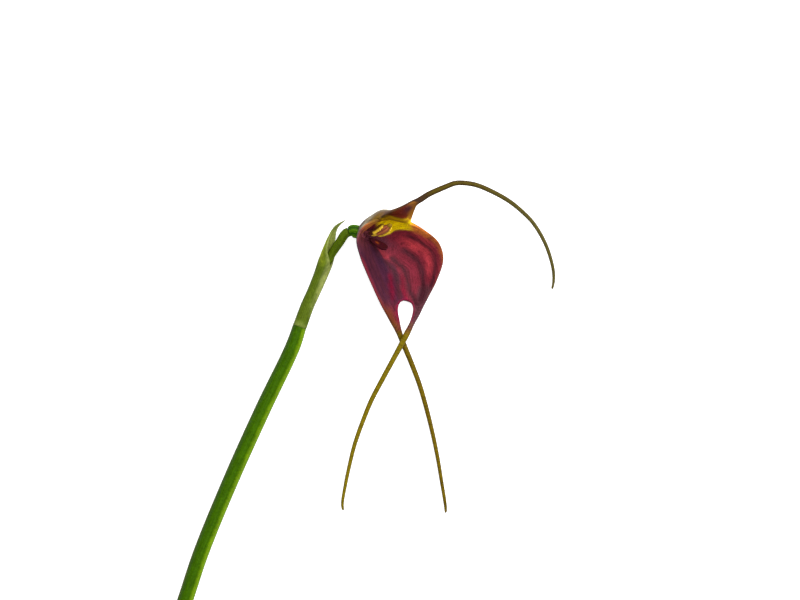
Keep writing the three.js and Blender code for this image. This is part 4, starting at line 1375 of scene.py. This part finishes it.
class FLOWER_OT_bract(bpy.types.Operator):
    """Makes the sheathing bract with its hooked tip"""

    bl_idname = "flower.bract"
    bl_label = "Bract"

    def execute(self, context):
        layers = {
            "rib": "bract_rib",
            "lemon": "bract_lemon",
            "faded": "bract_grey",
            "band": "bract_pale",
            "tip": "bract_tip",
            "pale": "bract_pale",
            "foot": "bract_pale",
        }
        papery = skin("Bract skin", "bract_olive", layers, PAPERY, grain=0.8)
        make_piece("Floral_bract", bract_blocks(), papery, "floral_bract")
        return {"FINISHED"}


class FLOWER_OT_pedicel(bpy.types.Operator):
    """Makes the pedicel that comes out of the bract"""

    bl_idname = "flower.pedicel"
    bl_label = "Pedicel"

    def execute(self, context):
        layers = {"lime": "pedicel_painted_light"}
        waxy = skin("Pedicel skin", "pedicel_green", layers, WAXY, fibres=(5.0, 5.0))
        make_piece("Pedicel", [pedicel_block()], waxy, "pedicel")
        return {"FINISHED"}


class FLOWER_OT_ovary(bpy.types.Operator):
    """Makes the ribbed, glossy ovary"""

    bl_idname = "flower.ovary"
    bl_label = "Ovary"

    def execute(self, context):
        layers = {"rib": "ovary_lime", "hidden": "tube_shade"}
        glossy = skin("Ovary skin", "ovary_green", layers, GLOSSY, fibres=(6.0, 3.0), specular=0.08)
        make_piece("Ovary", [ovary_block()], glossy, "ovary")
        return {"FINISHED"}


class FLOWER_OT_synsepal(bpy.types.Operator):
    """Makes the two lateral sepals, grown together into the cup, with their tails"""

    bl_idname = "flower.synsepal"
    bl_label = "Lateral sepals"

    def execute(self, context):
        satin = skin("Sepal crimson", "crimson", SYNSEPAL_LAYERS, CUP_SATIN, fibres=(4.0, 0.35), tone=1.2)
        lobes = lateral_blocks(FAR) + lateral_blocks(NEAR)
        make_piece("Synsepal", lobes, satin, "synsepal")
        return {"FINISHED"}


class FLOWER_OT_dorsal_sepal(bpy.types.Operator):
    """Makes the dorsal sepal, the roof of the tube, with its arching tail"""

    bl_idname = "flower.dorsal_sepal"
    bl_label = "Dorsal sepal"

    def execute(self, context):
        layers = {
            "outside": "bronze",
            "shade": "ochre",
            "patch": "patch_red",
            "amber": "tawny",
            "dark": "maroon",
            "mauve": "mauve",
            "gold": "olive_gold",
            "pale": "painted_rim_highlight",
            "sepia": "sepia",
            "umber": "umber",
            "tail": "tail_grey",
        }
        satin = skin("Sepal gold", "gold", layers, ROOF_SATIN)
        make_piece("Dorsal_sepal", dorsal_blocks(), satin, "dorsal_sepal")
        return {"FINISHED"}


class FLOWER_OT_petals(bpy.types.Operator):
    """Makes the two small petals beside the column"""

    bl_idname = "flower.petals"
    bl_label = "Petals"

    def execute(self, context):
        wall = sizes().petal_wall / MM
        layers = {"tip": "olive_gold", "fringe": "petal_yellow"}
        # The near petal is painted as a shaded copy of the far one.
        shaded = skin("Petal shaded", "near_petal_shade", layers, PETAL_SATIN)
        bright = skin("Petal yellow", "petal_yellow", {"core": "ochre"}, PETAL_SATIN)
        widths = [w * sizes().petal_half_width / MM for w in PETAL_SHAPE]
        for name, line, node, satin in (
            ("Petal_left", NEAR_PETAL_LINE, "petal_left", shaded),
            ("Petal_right", FAR_PETAL_LINE, "petal_right", bright),
        ):
            blocks = blade_blocks(line, PETAL_ACROSS, widths, wall, PETAL_CUPPING, teeth=PETAL_TEETH)
            make_piece(name, blocks, satin, node)
        return {"FINISHED"}


class FLOWER_OT_lip(bpy.types.Operator):
    """Makes the small warty lip in the throat"""

    bl_idname = "flower.lip"
    bl_label = "Lip"

    def execute(self, context):
        warty = skin("Lip maroon", "lip_maroon", {"callus": "lip_orange"}, WARTY)
        wall = sizes().lip_wall / MM
        blocks = blade_blocks(LIP_LINE, LIP_ACROSS, LIP_HALF_WIDTHS, wall, LIP_CUPPING, warts=LIP_WARTS)
        make_piece("Lip", blocks, warty, "lip")
        return {"FINISHED"}


class FLOWER_OT_column(bpy.types.Operator):
    """Makes the column and the anther cap on its tip"""

    bl_idname = "flower.column"
    bl_label = "Column and anther cap"

    def execute(self, context):
        layers = {"stripe": "maroon", "bright_foot": "petal_yellow", "hidden": "tube_shade"}
        striped = skin("Column pink", "column_pink", layers, COLUMN_SATIN, fibres=(4.0, 3.0), specular=0.1)
        cream = skin("Cap cream", "cap_cream", {"top": "cap_top"}, COLUMN_SATIN, specular=0.1)
        make_piece("Column", [column_block()], striped, "column")
        make_piece("Anther_cap", [cap_block()], cream, "anther_cap")
        return {"FINISHED"}


PIECE_OPERATORS = (
    FLOWER_OT_stem,
    FLOWER_OT_bract,
    FLOWER_OT_pedicel,
    FLOWER_OT_ovary,
    FLOWER_OT_synsepal,
    FLOWER_OT_dorsal_sepal,
    FLOWER_OT_petals,
    FLOWER_OT_lip,
    FLOWER_OT_column,
)


# ---------------------------------------------------------------- the studio
CAMERA_HEIGHT = 559.6  # millimetres over the table, which shows 6 of the picture's pixels for each one
CAMERA_PLACE = (-0.07, 0.05)
CAMERA_LENS = 150.0
SENSOR_WIDTH = 36.0
FLOOR_HALF_WIDTH = 600.0
WORLD_STRENGTH = 0.4
FLOOR_GLOW = 0.7  # only the camera sees it, so it lights nothing
KEY_POWER = 6.2
KEY_SIZE = 0.7
KEY_PLACE = np.array((180.0, 240.0, 520.0))
FLOOR_GREY = (0.85, 0.85, 0.85, 1.0)
FLOOR_GAP = 0.02  # between the floor and the lowest piece
CLIP_START, CLIP_END = 0.01, 10.0


class FLOWER_OT_studio(bpy.types.Operator):
    """Makes the floor, the soft light and the camera that looks down on the flower"""

    bl_idname = "flower.studio"
    bl_label = "Studio"

    def execute(self, context):
        scene = context.scene
        scene.view_settings.view_transform = "Standard"
        world = bpy.data.worlds.new("Studio")
        world.use_nodes = True
        background = world.node_tree.nodes["Background"].inputs
        background["Color"].default_value = WHITE
        background["Strength"].default_value = WORLD_STRENGTH
        scene.world = world

        material = bpy.data.materials.new("Floor")
        material.use_nodes = True
        tree = Tree(material.node_tree)
        seen = tree.add("ShaderNodeLightPath").outputs["Is Camera Ray"]
        glow = tree.mix(seen, BLACK, WHITE)
        matt = {"Base Color": FLOOR_GREY, "Roughness": 0.9, "Specular IOR Level": 0.0}
        matt |= {"Emission Color": glow, "Emission Strength": FLOOR_GLOW}
        principled = tree.add("ShaderNodeBsdfPrincipled", matt)
        tree.add("ShaderNodeOutputMaterial", {"Surface": principled.outputs[0]})
        half = FLOOR_HALF_WIDTH * MM
        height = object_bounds()[0][2] - FLOOR_GAP * MM
        mesh = bpy.data.meshes.new("Floor")
        corners = [(-half, -half, height), (half, -half, height), (half, half, height), (-half, half, height)]
        mesh.from_pydata(corners, [], [(0, 1, 2, 3)])
        mesh.materials.append(material)
        floor = bpy.data.objects.new("Floor", mesh)
        scene.collection.objects.link(floor)
        floor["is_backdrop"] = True

        light = bpy.data.lights.new("Key", "AREA")
        light.energy = KEY_POWER
        light.size = KEY_SIZE
        key = bpy.data.objects.new("Key", light)
        key.location = KEY_PLACE * MM
        key.rotation_euler = (-Vector(key.location)).to_track_quat("-Z", "Y").to_euler()
        key.visible_camera = False
        scene.collection.objects.link(key)

        lens = bpy.data.cameras.new("Camera")
        lens.lens = CAMERA_LENS
        lens.sensor_width = SENSOR_WIDTH
        lens.clip_start = CLIP_START
        lens.clip_end = CLIP_END
        camera = bpy.data.objects.new("Camera", lens)
        camera.location = place((*CAMERA_PLACE, CAMERA_HEIGHT))
        scene.collection.objects.link(camera)
        scene.camera = camera
        return {"FINISHED"}


class FLOWER_PT_panel(bpy.types.Panel):
    """Lists the steps and the settings of the flower"""

    bl_idname = "FLOWER_PT_panel"
    bl_label = "Flower"
    bl_space_type = "VIEW_3D"
    bl_region_type = "UI"
    bl_category = "Flower"

    def draw(self, context):
        layout = self.layout
        for operator in (FLOWER_OT_effects, *PIECE_OPERATORS, FLOWER_OT_studio):
            layout.operator(operator.bl_idname)
        for group in (context.scene.flower_sizes, context.scene.flower_colours):
            box = layout.box()
            for name in group.__annotations__:
                box.prop(group, name)


CLASSES = (FlowerSizes, FlowerColours, FLOWER_OT_effects, *PIECE_OPERATORS, FLOWER_OT_studio, FLOWER_PT_panel)


def register():
    for each in CLASSES:
        bpy.utils.register_class(each)
    bpy.types.Scene.flower_sizes = bpy.props.PointerProperty(type=FlowerSizes)
    bpy.types.Scene.flower_colours = bpy.props.PointerProperty(type=FlowerColours)


def unregister():
    del bpy.types.Scene.flower_colours
    del bpy.types.Scene.flower_sizes
    for each in reversed(CLASSES):
        bpy.utils.unregister_class(each)


def main():
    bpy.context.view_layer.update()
    register()
    bpy.ops.flower.effects()
    bpy.ops.flower.stem()
    bpy.ops.flower.bract()
    bpy.ops.flower.pedicel()
    bpy.ops.flower.ovary()
    bpy.ops.flower.synsepal()
    bpy.ops.flower.dorsal_sepal()
    bpy.ops.flower.petals()
    bpy.ops.flower.lip()
    bpy.ops.flower.column()
    bpy.ops.flower.studio()


if __name__ == "__main__":
    main()
